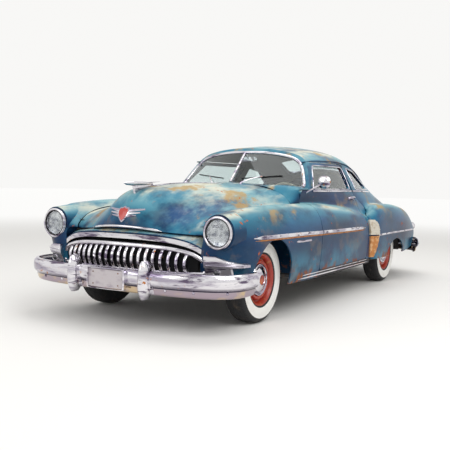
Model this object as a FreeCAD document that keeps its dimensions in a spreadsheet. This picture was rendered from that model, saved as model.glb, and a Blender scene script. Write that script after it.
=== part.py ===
import FreeCAD, Part
import math
import os
import Sketcher
from FreeCAD import Placement, Rotation, Vector

# A two-door fastback car of about 1950.  X points ahead, Y to the car's left, Z up.
# The origin is on the floor, at mid-length.

doc = FreeCAD.newDocument("classic_car")
sheet = doc.addObject("Spreadsheet::Sheet", "sizes")

SIZES = (
    # Whole car
    ("half_length", 2650.0, "from mid-length to the face of either bumper"),
    ("half_width", 1000.0, "from the middle to the widest line of the wings"),
    ("crown_height", 950.0, "top of the front wings"),
    ("cabin_rise", 468.0, "roof's highest line over the waistline"),
    ("front_axle_x", 1680.0, "front wheels ahead of mid-length"),
    ("rear_axle_x", -1395.0, "rear wheels behind mid-length"),
    ("front_wheel_y", 745.0, "middle of a front tyre"),
    ("rear_wheel_y", 775.0, "middle of a rear tyre"),
    ("kingpin_y", 655.0, "steering axis of a front wheel"),
    # Sheet metal
    ("skin", 12.0, "wings, bonnet and aprons with their flanges"),
    ("wall", 34.0, "roof, pillars and quarter panels with their inner trim"),
    ("lid_wall", 26.0, "boot lid"),
    ("door_depth", 96.0, "door at its deepest"),
    ("seat_gap", 0.3, "between pieces that are fastened together"),
    ("shut_gap", 7.0, "round doors, bonnet and boot lid"),
    ("overrun", 60.0, "how far a cut runs past what it cuts"),
    ("far", 3000.0, "a reach past the whole body"),
    # Wheels
    ("tyre_radius", 350.0, "tread"),
    ("tyre_width", 185.0, "widest part of a tyre"),
    ("bead_radius", 196.0, "inside of the tyre on its rim"),
    ("rim_width", 150.0, "across the rim's lips"),
    ("rim_lip", 14.0, "height of the rim's lip over the bead"),
    ("rim_wall", 9.0, "rim and disc"),
    ("disc_face", 38.0, "disc outboard of the tyre's middle"),
    ("cap_radius", 92.0, "hub cap"),
    ("cap_rise", 34.0, "hub cap's dome"),
    ("dish_radius", 150.0, "raised ring of the disc"),
    ("dish_rise", 26.0, "raised ring over the disc"),
    ("axle_fit", 0.3, "bore over axle"),
    # Front wheel arch and rear wheel arch
    ("front_arch_x", 1722.0, "middle of the front arch"),
    ("front_arch_half", 335.0, "half the opening's length"),
    ("front_arch_top", 690.0, "top of the front arch"),
    ("rear_arch_x", -1382.0, "middle of the rear arch"),
    ("rear_arch_half", 300.0, "half the opening's length"),
    ("rear_arch_top", 520.0, "top of the half-covered rear arch"),
    ("arch_spring", 400.0, "where an arch starts to curve"),
    # Door
    ("door_front_x", 800.0, "door's front edge"),
    ("door_rear_x", -500.0, "door's rear edge"),
    ("sill_top", 352.0, "top of the rocker"),
    ("door_top", 1340.0, "door's top edge under the gutter"),
    ("door_corner", 42.0, "rounding of a door's corners"),
    ("glass_sill", 1088.0, "lower edge of the side windows"),
    ("glass_head", 1306.0, "upper edge of the side windows"),
    ("glass_corner", 30.0, "rounding of a window's corners"),
    ("glass_thickness", 5.0, "window glass"),
    ("glass_depth", 14.0, "glass inside the outer face"),
    ("glass_fit", 0.4, "glass to its frame"),
    ("belt_top", 1068.0, "waistline at the door"),
    ("pillar_foot_x", 560.0, "door frame's foot beside the windscreen pillar"),
    ("pillar_head_x", 335.0, "door frame's front corner under the gutter"),
    ("frame_post", 46.0, "window behind the door's rear edge"),
    ("frame_lean", -34.0, "window's upper front corner ahead of the frame's"),
    ("frame_foot", 44.0, "window's lower front corner behind the frame's foot"),
    # Windscreen and cowl
    ("screen_x", 815.0, "windscreen's foot on the middle line"),
    ("screen_foot", 1130.0, "height of that foot"),
    ("screen_lean", 265.0, "how far the glass leans back over its rise"),
    ("screen_rise", 270.0, "the rise that the lean is measured over"),
    ("cowl_side_y", 705.0, "inner side of the door opening"),
    ("firewall_x", 892.0, "rear face of the firewall"),
    ("floor_top", 312.0, "top of the floor pan"),
    # Roof, rear window and tail
    ("roof_end_share", 6.0, "station where roof and rear deck meet"),
    ("pillar_share", 3.49, "station of the door's rear edge"),
    ("tail_start_share", 10.0, "station where the tail panel turns down"),
    ("rear_window_top_x", -985.0, "rear window's upper edge"),
    ("rear_window_foot_x", -1395.0, "rear window's lower edge"),
    ("rear_window_half", 400.0, "half the rear window's width"),
    ("rear_window_corner", 90.0, "rounding of its corners"),
    ("deck_slope", 30.0, "slope of the rear deck, in degrees"),
    ("lid_top_x", -1570.0, "boot lid's hinge edge"),
    ("lid_top_z", 1262.0, "height of the hinge edge"),
    ("lid_length", 1150.0, "boot lid down its slope"),
    ("lid_half", 395.0, "half the boot lid's width"),
    ("lid_corner", 90.0, "rounding of the lid's corners"),
    ("lid_reach", 700.0, "half the reach of the lid's cut"),
    ("gutter_gap", 4.0, "quarter panel under the roof's edge"),
    ("pod_gap", 3.0, "side panel ahead of the rear wing's front edge"),
    ("quarter_window_front_x", -645.0, "quarter window's front edge"),
    ("quarter_window_head_x", -900.0, "its upper rear corner"),
    ("quarter_window_drop", 40.0, "fall of its upper edge"),
    ("quarter_window_rear_x", -1215.0, "its pointed rear corner"),
    # Headlamps
    ("headlamp_x", 2322.0, "front of the lamp's housing"),
    ("headlamp_y", 800.0, "lamp from the middle line"),
    ("headlamp_z", 760.0, "lamp's height"),
    ("headlamp_radius", 122.0, "lamp rim"),
    ("shroud_back_radius", 150.0, "housing where it leaves the wing"),
    ("shroud_length", 150.0, "housing's length"),
    # Floor, frame and running gear
    ("floor_sheet", 12.0, "floor pan and boot floor"),
    ("floor_half", 880.0, "half the floor pan's width"),
    ("floor_front_x", 906.0, "floor pan under the firewall"),
    ("riser_x", -900.0, "step up to the boot floor"),
    ("boot_floor_top", 482.0, "boot floor over the rear axle"),
    ("boot_floor_half", 646.0, "half the boot floor's width"),
    ("boot_rear_x", -2395.0, "rear edge of the boot floor"),
    ("tunnel_radius", 130.0, "tunnel over the propeller shaft"),
    ("wheelhouse_inner_y", 640.0, "inner wall of the rear wheel box"),
    ("wheelhouse_outer_y", 900.0, "its open outer edge"),
    ("wheelhouse_gap", 38.0, "wheel box over the tyre"),
    ("frame_front_x", 2270.0, "front end of the side members"),
    ("frame_rear_x", -2420.0, "rear end of the side members"),
    ("rail_inner_y", 330.0, "side member's inner face"),
    ("rail_width", 70.0, "side member's width"),
    ("rail_foot", 190.0, "side member's underside amidships"),
    ("front_rail_foot", 312.0, "its underside at the front axle"),
    ("front_rail_top", 409.7, "its top at the front axle"),
    ("front_kick_x", 1340.0, "where the side member levels out ahead"),
    ("front_kick_start_x", 1180.0, "where its underside starts to rise"),
    ("rear_kick_x", -1050.0, "where it levels out over the rear axle"),
    ("rear_rail_foot", 404.0, "its underside over the rear axle"),
    ("tail_rail_top", 420.0, "its top at the rear end"),
    ("tail_rail_foot", 345.0, "its underside at the rear end"),
    ("tail_rail_x", -2000.0, "where it comes down behind the axle"),
    ("cross_depth", 40.0, "cross members amidships"),
    ("cross_length", 70.0, "cross members along the car"),
    ("axle_cross_front_x", 1800.0, "suspension cross member's front face"),
    ("axle_cross_rear_x", 1640.0, "suspension cross member's rear face"),
    ("axle_cross_foot", 216.0, "suspension cross member's underside"),
    ("hanger_length", 44.0, "spring hangers"),
    ("engine_front_x", 1850.0, "front of the engine"),
    ("engine_rear_x", 1000.0, "rear of the engine"),
    ("engine_half", 170.0, "half the engine's width"),
    ("engine_foot", 330.0, "underside of the engine"),
    ("engine_top", 880.0, "top of the engine"),
    ("axle_radius", 40.0, "rear axle tube"),
    ("shaft_radius", 23.0, "half shafts and front spindles"),
    ("differential_radius", 114.0, "rear axle's middle housing"),
    ("propeller_radius", 34.0, "propeller shaft"),
    ("spring_y", 437.0, "middle of a leaf spring"),
    ("spring_width", 60.0, "leaf spring's width"),
    ("spring_depth", 28.0, "leaf spring's stack"),
    ("spring_front_x", -788.0, "front end of the leaf springs"),
    ("spring_front_z", 274.0, "their height there"),
    ("spring_rear_x", -2040.0, "rear end of the leaf springs"),
    ("spring_rear_z", 380.0, "their height there"),
    ("exhaust_y", -235.0, "exhaust line"),
    ("pipe_radius", 22.0, "exhaust pipe"),
    ("silencer_radius", 72.0, "silencer"),
    ("silencer_front_x", -90.0, "silencer's front end"),
    ("silencer_length", 560.0, "silencer"),
    ("tail_pipe_x", -2560.0, "end of the tail pipe"),
    ("tail_pipe_z", 250.0, "height of the tail pipe"),
    ("over_axle_z", 437.0, "pipe over the rear axle"),
    ("tank_front_x", -1960.0, "fuel tank's front"),
    ("tank_rear_x", -2330.0, "fuel tank's rear"),
    ("tank_left_y", 318.0, "fuel tank's left side"),
    ("tank_right_y", -150.0, "fuel tank's right side"),
    ("tank_foot", 330.0, "fuel tank's underside"),
    ("tank_round", 40.0, "rounding of the tank"),
    ("well_half", 22.0, "half the rim's drop centre"),
    ("well_depth", 28.0, "depth of the drop centre"),
    ("hub_reach", 30.0, "hub inboard of the tyre's middle"),
    ("hub_radius", 62.0, "hub"),
    # Front suspension and steering
    ("lower_arm_z", 222.0, "underside of the lower arms"),
    ("arm_sheet", 18.0, "thickness of an arm"),
    ("upper_arm_z", 470.0, "underside of the upper arms"),
    ("arm_end_half", 20.0, "half an arm's width at the wheel"),
    ("coil_y", 500.0, "coil spring"),
    ("coil_radius", 50.0, "coil spring"),
    ("tower_length", 100.0, "upper arm's tower"),
    ("tower_width", 60.0, "upper arm's tower"),
    ("kingpin_radius", 20.0, "kingpin post"),
    ("plate_radius", 150.0, "brake backing plate"),
    ("plate_y", 684.0, "inner face of the backing plate"),
    ("plate_sheet", 6.0, "backing plate"),
    ("steering_arm_reach", 150.0, "steering arm behind the kingpin"),
    ("steering_arm_y", 600.0, "end of the steering arm"),
    ("steering_arm_z", 262.0, "underside of the steering arm"),
    ("steering_arm_sheet", 16.0, "steering arm"),
    ("tie_rod_radius", 11.0, "tie rod"),
    # Nose, grille and bumpers
    ("nose_pan_rear_x", 2100.0, "rear of the nose pan"),
    ("radiator_depth", 60.0, "radiator"),
    ("radiator_half", 290.0, "half the radiator's width"),
    ("radiator_top", 830.0, "top of the radiator"),
    ("grille_x", 2440.0, "grille bars on the middle line"),
    ("grille_half", 676.0, "half the grille's width"),
    ("grille_top", 638.0, "upper bar"),
    ("grille_foot", 445.0, "lower bar"),
    ("grille_bar", 19.0, "bar's half thickness"),
    ("tooth_width", 26.0, "grille tooth"),
    ("tooth_depth", 30.0, "grille tooth, front to rear"),
    ("tooth_bulge", 38.0, "how far a tooth bows ahead"),
    ("tooth_round", 8.0, "tooth's rounded front"),
    ("tooth_pitch", 62.0, "from tooth to tooth"),
    ("header_sheet", 10.0, "sheet between bonnet and grille"),
    ("crest_z", 700.0, "arched band over the grille"),
    ("crest_half", 18.0, "half the band's height"),
    ("crest_depth", 14.0, "band, front to rear"),
    ("bumper_x", 2606.0, "bumper's face on the middle line"),
    ("bumper_half", 1028.0, "half the bumper's width"),
    ("bumper_sheet", 6.0, "bumper's steel"),
    ("bumper_low", 296.0, "bumper's lower lip"),
    ("bumper_high", 472.0, "bumper's upper lip"),
    ("bracket_foot", 342.0, "bumper bracket"),
    ("bracket_depth", 56.0, "bumper bracket"),
    ("guard_y", 340.0, "bumper guards"),
    ("guard_half", 48.0, "half a guard's width"),
    ("guard_foot", 262.0, "lower end of the guards"),
    ("guard_top", 546.0, "upper end of the guards"),
    # Lamps
    ("lens_radius", 98.0, "headlamp lens"),
    ("lens_rise", 26.0, "headlamp lens's dome"),
    ("bucket_depth", 90.0, "headlamp bucket"),
    ("parking_x", 2320.0, "parking lamp's base"),
    ("parking_y", 795.0, "parking lamp"),
    ("parking_z", 468.0, "parking lamp"),
    ("parking_radius", 27.0, "parking lamp's housing"),
    ("parking_rise", 26.0, "parking lamp's dome"),
    ("hood_rear_x", 2130.0, "rear end of the hood over the parking lamp"),
    ("hood_inner_y", 703.0, "hood's inner end"),
    ("hood_end_y", 965.0, "hood's outer end"),
    ("hood_foot", 505.0, "hood's lower edge"),
    ("hood_top", 588.0, "hood's upper edge"),
    ("hood_end_rise", 18.0, "hood's height at its outer end"),
    ("hood_proud", 30.0, "hood off the wing"),
    ("panel_foot", 432.0, "lower edge of the parking lamp's panel"),
    ("panel_end_y", 880.0, "panel's outer end"),
    ("panel_proud", 18.0, "panel off the wing"),
    ("tail_lamp_x", -2440.0, "tail lamp"),
    ("tail_lamp_y", 862.0, "tail lamp"),
    ("tail_lamp_z", 612.0, "tail lamp"),
    ("tail_lamp_radius", 48.0, "tail lamp"),
    # Cabin
    ("seat_half", 640.0, "half a bench's width"),
    ("seat_round", 38.0, "rounding of the cushions"),
    ("front_seat_x", 190.0, "front edge of the front bench"),
    ("front_seat_rear_x", -300.0, "rear edge of its cushion"),
    ("rear_seat_x", -690.0, "front edge of the rear bench"),
    ("cushion_top", 590.0, "top of the cushions"),
    ("back_top", 985.0, "top of the seat backs"),
    ("back_depth", 110.0, "seat back"),
    ("back_lean", 120.0, "lean of the seat backs"),
    ("dash_rear_x", 520.0, "dashboard's face"),
    ("dash_front_x", 760.0, "dashboard's front edge"),
    ("dash_foot", 905.0, "dashboard's lower edge"),
    ("dash_half", 690.0, "half the dashboard's width"),
    ("steering_y", 370.0, "steering column"),
    ("steering_hub_x", 320.0, "steering wheel's hub"),
    ("steering_hub_z", 925.0, "steering wheel's hub"),
    ("column_slope", 21.0, "column's slope, in degrees"),
    ("column_radius", 22.0, "steering column"),
    ("steering_wheel_radius", 205.0, "steering wheel"),
    ("steering_rim", 12.0, "half the rim's thickness"),
    ("steering_boss", 36.0, "steering wheel's boss"),
    ("spoke_radius", 9.0, "steering wheel's spokes"),
    # Ornament and mirror
    ("ornament_tip_x", 2425.0, "ornament's tip"),
    ("ornament_tail_x", 2050.0, "ornament's rear end"),
    ("ornament_z", 1104.0, "ornament's axis"),
    ("ornament_radius", 19.0, "ornament at its thickest"),
    ("ornament_fin", 9.0, "half the ornament's fin"),
    ("mirror_x", 640.0, "mirror's head"),
    ("mirror_y", 905.0, "mirror's head"),
    ("mirror_z", 1148.0, "mirror's head"),
    ("mirror_radius", 62.0, "mirror's head"),
    ("mirror_depth", 26.0, "mirror's head"),
    ("mirror_foot_x", 700.0, "mirror's foot on the door"),
    ("mirror_foot_z", 1035.0, "mirror's foot on the door"),
    ("mirror_stalk", 9.0, "mirror's stalk"),
)

for row, (alias, amount, meaning) in enumerate(SIZES, start=1):
    sheet.set(f"A{row}", f"{amount}")
    sheet.setAlias(f"A{row}", alias)
    sheet.set(f"B{row}", meaning)
doc.recompute()


class Named:
    """The sheet's sizes, read by their names."""


car = Named()
for alias, amount, meaning in SIZES:
    setattr(car, alias, float(sheet.get(alias)))

NODES = []


def keep(name, shape):
    """Puts a finished shape into the document as one sub-part."""
    solids = shape.Solids
    whole = solids[0] if len(solids) == 1 else Part.makeCompound(solids)
    piece = doc.addObject("Part::Feature", name)
    piece.Label = name
    piece.Shape = whole
    piece.Placement = Placement()
    NODES.append(piece)
    return piece


def keep_mirror(name, source):
    """The right-hand piece, as the mirror image of the left-hand one."""
    piece = doc.addObject("Part::Mirroring", name)
    piece.Label = name
    piece.Source = source
    piece.Base = Vector(0, 0, 0)
    piece.Normal = Vector(0, 1, 0)
    NODES.append(piece)
    return piece


def mirrored(shape):
    """The same shape on the car's other side."""
    return shape.mirror(Vector(0, 0, 0), Vector(0, 1, 0))


# Surfaces through hand-set lines of the body

def at(along, across, up):
    """A place given as shares of half length, half width and crown height."""
    return Vector(along * car.half_length, across * car.half_width, up * car.crown_height)


def spacing(lines):
    """Shared parameters of like lines: the mean growth of their lengths, from 0 to 1."""
    growth = [0.0] * len(lines[0])
    for points in lines:
        reach = [0.0]
        for point, following in zip(points, points[1:]):
            reach.append(reach[-1] + point.distanceToPoint(following))
        growth = [total + length / reach[-1] for total, length in zip(growth, reach)]
    return [total / len(lines) for total in growth]


def line_through(points, parameters):
    line = Part.BSplineCurve()
    line.interpolate(Points=points, Parameters=parameters)
    return line


def smooth(rows, across=None, along=None):
    """A smooth surface through a net of points: lines along the rows, then across their poles."""
    along = along or spacing(rows)
    across = across or spacing(list(zip(*rows)))
    lines = [line_through(points, along) for points in rows]
    crossing = [line_through(list(poles), across) for poles in zip(*[line.getPoles() for line in lines])]
    poles = [list(row) for row in zip(*[line.getPoles() for line in crossing])]
    surface = Part.BSplineSurface()
    surface.buildFromPolesMultsKnots(
        poles, crossing[0].getMultiplicities(), lines[0].getMultiplicities(),
        crossing[0].getKnots(), lines[0].getKnots(), False, False,
        crossing[0].Degree, lines[0].Degree)
    return surface


def with_middles(knots):
    stations = [knots[0]]
    for low, high in zip(knots, knots[1:]):
        stations += [(low + high) / 2, high]
    return stations


def lining(surface, depth):
    """A surface lying the given depth inside another, measured square to it."""
    ups = with_middles(surface.getUKnots())
    alongs = with_middles(surface.getVKnots())
    middle = surface.value(0.5, 0.5)
    outward = surface.normal(0.5, 0.5).dot(middle - Vector(middle.x, 0, car.crown_height / 2))
    inward = -depth if outward > 0 else depth
    rows = [[surface.value(u, v) + surface.normal(u, v) * inward for v in alongs] for u in ups]
    return smooth(rows, ups, alongs)


def rim(surface):
    u0, u1, v0, v1 = surface.bounds()
    return [surface.uIso(u0), surface.vIso(v1), surface.uIso(u1), surface.vIso(v0)]


def bridge(line, partner):
    """The straight-ruled strip between two like lines."""
    strip = Part.BSplineSurface()
    strip.buildFromPolesMultsKnots(
        [line.getPoles(), partner.getPoles()], [2, 2], line.getMultiplicities(),
        [0.0, 1.0], line.getKnots(), False, False, 1, line.Degree)
    return strip


def closed_between(outer, inner, rows=(0, 1), columns=(0, 1)):
    """The solid between two like surfaces, over a range of rows and columns."""
    skins = []
    for surface in (outer, inner):
        skin = surface.copy()
        if rows != (0, 1) or columns != (0, 1):
            skin.segment(rows[0], rows[1], columns[0], columns[1])
        skins.append(skin)
    strips = [bridge(line, partner) for line, partner in zip(rim(skins[0]), rim(skins[1]))]
    solid = Part.makeSolid(Part.makeShell([face.toShape() for face in skins + strips]))
    if solid.Volume < 0:
        solid.reverse()
    return solid


def sheet_metal(surface, depth, rows=(0, 1), columns=(0, 1), start=0.0):
    """A panel of even thickness, from one depth under its outer face to another."""
    return closed_between(lining(surface, start), lining(surface, depth), rows, columns)


def row_at(surface, point):
    return surface.parameter(point)[0]


def column_at(surface, point):
    return surface.parameter(point)[1]


def side_face(outline):
    """A flat face in the car's side view, from places along and up."""
    points = [Vector(x, 0, z) for x, z in outline]
    return Part.Face(Part.makePolygon(points + points[:1]))


def grown(face, amount):
    """The face with every edge moved outwards."""
    return Part.Face(face.makeOffset2D(amount, 2).Wires[0])


def across_car(face, low, high, rounding=0.0):
    """A side-view face carried across the car, its corners rounded."""
    solid = face.translated(Vector(0, low, 0)).extrude(Vector(0, high - low, 0))
    if rounding > 0:
        corners = [edge for edge in solid.Edges
                   if abs(edge.tangentAt(edge.FirstParameter).y) > 0.99]
        solid = solid.makeFillet(rounding, corners)
    return solid


def block(low, high):
    """A box between two corners."""
    size = high - low
    return Part.makeBox(size.x, size.y, size.z, low)


def nearest_solid(shape, point):
    """Of the solids that a cut leaves, the one at the given place."""
    spot = Part.Vertex(point)
    return min(shape.Solids, key=lambda solid: solid.distToShape(spot)[0])


# The body's lines.  Each place is a share of half length, half width and crown height;
# the cabin's last number is its rise over the waistline, as a share of the cabin's rise.

SIDE_RAIL_SHARES = {
    "bottom": (
        (-0.2717, 0.922, 0.3053), (-0.1132, 0.928, 0.3053), (0.0943, 0.932, 0.3053),
        (0.3019, 0.932, 0.3053), (0.4717, 0.925, 0.3053), (0.6415, 0.918, 0.3074),
        (0.7736, 0.895, 0.3211), (0.8321, 0.838, 0.3526), (0.8585, 0.745, 0.3768),
        (0.8649, 0.645, 0.3874),
    ),
    "low": (
        (-0.2717, 0.940, 0.4421), (-0.1132, 0.950, 0.4421), (0.0943, 0.956, 0.4421),
        (0.3019, 0.958, 0.4421), (0.4717, 0.955, 0.4421), (0.6415, 0.950, 0.4442),
        (0.7830, 0.930, 0.4547), (0.8434, 0.872, 0.4674), (0.8709, 0.765, 0.4758),
        (0.8762, 0.652, 0.4789),
    ),
    "waist": (
        (-0.2717, 0.948, 0.6158), (-0.1132, 0.962, 0.6211), (0.0943, 0.970, 0.6316),
        (0.3019, 0.973, 0.6368), (0.4717, 0.974, 0.6400), (0.6415, 0.972, 0.6421),
        (0.7906, 0.955, 0.6400), (0.8521, 0.902, 0.6316), (0.8792, 0.790, 0.6158),
        (0.8823, 0.660, 0.5979),
    ),
    "haunch": (
        (-0.2717, 0.930, 0.7263), (-0.1132, 0.950, 0.7632), (0.0943, 0.958, 0.8053),
        (0.3019, 0.958, 0.8316), (0.4717, 0.955, 0.8368), (0.6415, 0.950, 0.8337),
        (0.7943, 0.934, 0.8158), (0.8536, 0.900, 0.7737), (0.8808, 0.800, 0.7263),
        (0.8823, 0.668, 0.6789),
    ),
    "crown": (
        (-0.2717, 0.892, 0.8021), (-0.1132, 0.898, 0.8789), (0.0943, 0.885, 0.9389),
        (0.3019, 0.862, 0.9789), (0.4717, 0.842, 0.9958), (0.6415, 0.826, 0.9958),
        (0.7849, 0.812, 0.9737), (0.8358, 0.800, 0.9389), (0.8747, 0.768, 0.8421),
        (0.8774, 0.672, 0.7421),
    ),
    "fold": (
        (-0.2717, 0.858, 0.8421), (-0.1132, 0.852, 0.9137), (0.0943, 0.826, 0.9632),
        (0.3019, 0.790, 0.9979), (0.4717, 0.762, 0.9958), (0.6415, 0.738, 0.9789),
        (0.7792, 0.716, 0.9453), (0.8264, 0.702, 0.9074), (0.8642, 0.690, 0.8316),
        (0.8709, 0.658, 0.7663),
    ),
    "edge": (
        (-0.2717, 0.836, 0.8895), (-0.1132, 0.828, 0.9453), (0.0943, 0.792, 0.9789),
        (0.3019, 0.742, 1.0000), (0.4717, 0.698, 0.9789), (0.6415, 0.668, 0.9505),
        (0.7736, 0.645, 0.9032), (0.8189, 0.632, 0.8547), (0.8472, 0.618, 0.8053),
        (0.8574, 0.604, 0.7705),
    ),
}

UPPER_RAIL_SHARES = {
    "upper": (
        (-0.2717, 0.790, 1.0000), (-0.1132, 0.792, 1.0368), (0.0943, 0.772, 1.0526),
        (0.3019, 0.742, 1.0632), (0.3585, 0.735, 1.0632),
    ),
    "belt": (
        (-0.2717, 0.752, 1.0968), (-0.1132, 0.760, 1.1137), (0.0943, 0.756, 1.1242),
        (0.3019, 0.742, 1.1284), (0.3585, 0.738, 1.1284),
    ),
}

BELT_SHARES = (
    (0.3585, 0.738, 1.1284), (0.2264, 0.748, 1.1274), (0.0943, 0.756, 1.1242),
    (-0.1132, 0.760, 1.1137), (-0.2717, 0.752, 1.0968), (-0.4340, 0.728, 1.0611),
    (-0.5660, 0.700, 1.0158), (-0.6792, 0.672, 0.9632), (-0.7925, 0.645, 0.8895),
    (-0.8792, 0.630, 0.7947), (-0.9291, 0.636, 0.6842), (-0.9385, 0.651, 0.5579),
    (-0.9336, 0.650, 0.4947),
)

CABIN_SHARES = {
    "glass": (
        (0.3585, 0.668, 0.2735), (0.2264, 0.676, 0.3077), (0.0943, 0.682, 0.3333),
        (-0.1132, 0.684, 0.3504), (-0.2717, 0.672, 0.3419), (-0.4340, 0.640, 0.2821),
        (-0.5660, 0.604, 0.1987), (-0.6792, 0.575, 0.1282), (-0.7925, 0.550, 0.0855),
        (-0.8792, 0.528, 0.0641), (-0.9290, 0.512, 0.0385), (-0.9434, 0.505, 0.0214),
        (-0.9445, 0.503, 0.0107),
    ),
    "drip": (
        (0.3585, 0.588, 0.5256), (0.2264, 0.596, 0.5791), (0.0943, 0.602, 0.6282),
        (-0.1132, 0.603, 0.6709), (-0.2717, 0.590, 0.6624), (-0.4340, 0.550, 0.5427),
        (-0.5660, 0.505, 0.3996), (-0.6792, 0.470, 0.2714), (-0.7925, 0.442, 0.1709),
        (-0.8830, 0.420, 0.1175), (-0.9306, 0.404, 0.0812), (-0.9457, 0.396, 0.0470),
        (-0.9464, 0.394, 0.0214),
    ),
    "shoulder": (
        (0.3585, 0.430, 0.6410), (0.2264, 0.440, 0.7286), (0.0943, 0.445, 0.8120),
        (-0.1132, 0.445, 0.8761), (-0.2717, 0.432, 0.8675), (-0.4340, 0.392, 0.7350),
        (-0.5660, 0.345, 0.5748), (-0.6792, 0.312, 0.4167), (-0.7925, 0.288, 0.2714),
        (-0.8849, 0.270, 0.1774), (-0.9321, 0.258, 0.1154), (-0.9487, 0.250, 0.0641),
        (-0.9498, 0.248, 0.0321),
    ),
    "roof": (
        (0.3585, 0.230, 0.6966), (0.2264, 0.232, 0.8013), (0.0943, 0.232, 0.8974),
        (-0.1132, 0.230, 0.9701), (-0.2717, 0.222, 0.9658), (-0.4340, 0.200, 0.8291),
        (-0.5660, 0.175, 0.6645), (-0.6792, 0.158, 0.4850), (-0.7925, 0.146, 0.3184),
        (-0.8860, 0.136, 0.2115), (-0.9324, 0.130, 0.1410), (-0.9502, 0.126, 0.0769),
        (-0.9525, 0.125, 0.0385),
    ),
    "centre": (
        (0.3585, 0.000, 0.7179), (0.2264, 0.000, 0.8269), (0.0943, 0.000, 0.9274),
        (-0.1132, 0.000, 1.0043), (-0.2717, 0.000, 1.0000), (-0.4340, 0.000, 0.8632),
        (-0.5660, 0.000, 0.6944), (-0.6792, 0.000, 0.5107), (-0.7925, 0.000, 0.3397),
        (-0.8868, 0.000, 0.2286), (-0.9329, 0.000, 0.1538), (-0.9509, 0.000, 0.0855),
        (-0.9532, 0.000, 0.0427),
    ),
}

COWL_RAIL_SHARES = {
    "edge": (
        (0.3491, 0.706, 0.9895), (0.3283, 0.722, 0.9947), (0.3019, 0.736, 1.0000),
        (0.2642, 0.742, 0.9937), (0.2038, 0.748, 0.9874),
    ),
    "skirt": (
        (0.3491, 0.664, 1.0421), (0.3283, 0.706, 1.0505), (0.3019, 0.738, 1.0632),
        (0.2642, 0.748, 1.0653), (0.2038, 0.756, 1.0611),
    ),
    "flank": (
        (0.3491, 0.560, 1.1095), (0.3283, 0.640, 1.1200), (0.3019, 0.712, 1.1284),
        (0.2642, 0.742, 1.1263), (0.2038, 0.748, 1.1242),
    ),
    "dome": (
        (0.3491, 0.332, 1.1632), (0.3283, 0.380, 1.1684), (0.3019, 0.440, 1.1726),
        (0.2642, 0.500, 1.1642), (0.2038, 0.520, 1.1537),
    ),
    "prow": (
        (0.3491, 0.000, 1.1779), (0.3283, 0.000, 1.1832), (0.3019, 0.000, 1.1874),
        (0.2642, 0.000, 1.1832), (0.2038, 0.000, 1.1705),
    ),
}

BONNET_RAIL_SHARES = {
    "edge": (
        (0.3509, 0.704, 0.9937), (0.4717, 0.692, 0.9747), (0.6415, 0.662, 0.9463),
        (0.7736, 0.639, 0.8989), (0.8189, 0.626, 0.8505), (0.8445, 0.612, 0.8011),
        (0.8536, 0.598, 0.7663),
    ),
    "skirt": (
        (0.3509, 0.664, 1.0442), (0.4717, 0.618, 1.0084), (0.6415, 0.560, 0.9737),
        (0.7736, 0.486, 0.9263), (0.8321, 0.440, 0.8758), (0.8585, 0.436, 0.8316),
        (0.8792, 0.448, 0.7768),
    ),
    "flank": (
        (0.3509, 0.560, 1.1095), (0.4717, 0.505, 1.0895), (0.6415, 0.432, 1.0589),
        (0.7736, 0.352, 1.0084), (0.8423, 0.300, 0.9474), (0.8774, 0.292, 0.8789),
        (0.8989, 0.325, 0.7874),
    ),
    "dome": (
        (0.3509, 0.330, 1.1621), (0.4717, 0.300, 1.1558), (0.6415, 0.262, 1.1389),
        (0.7736, 0.222, 1.0989), (0.8491, 0.192, 1.0368), (0.8913, 0.186, 0.9368),
        (0.9132, 0.198, 0.7968),
    ),
    "prow": (
        (0.3509, 0.000, 1.1768), (0.4717, 0.000, 1.1747), (0.6415, 0.000, 1.1674),
        (0.7736, 0.000, 1.1411), (0.8558, 0.000, 1.0842), (0.9038, 0.000, 0.9684),
        (0.9215, 0.000, 0.8021),
    ),
}

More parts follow.
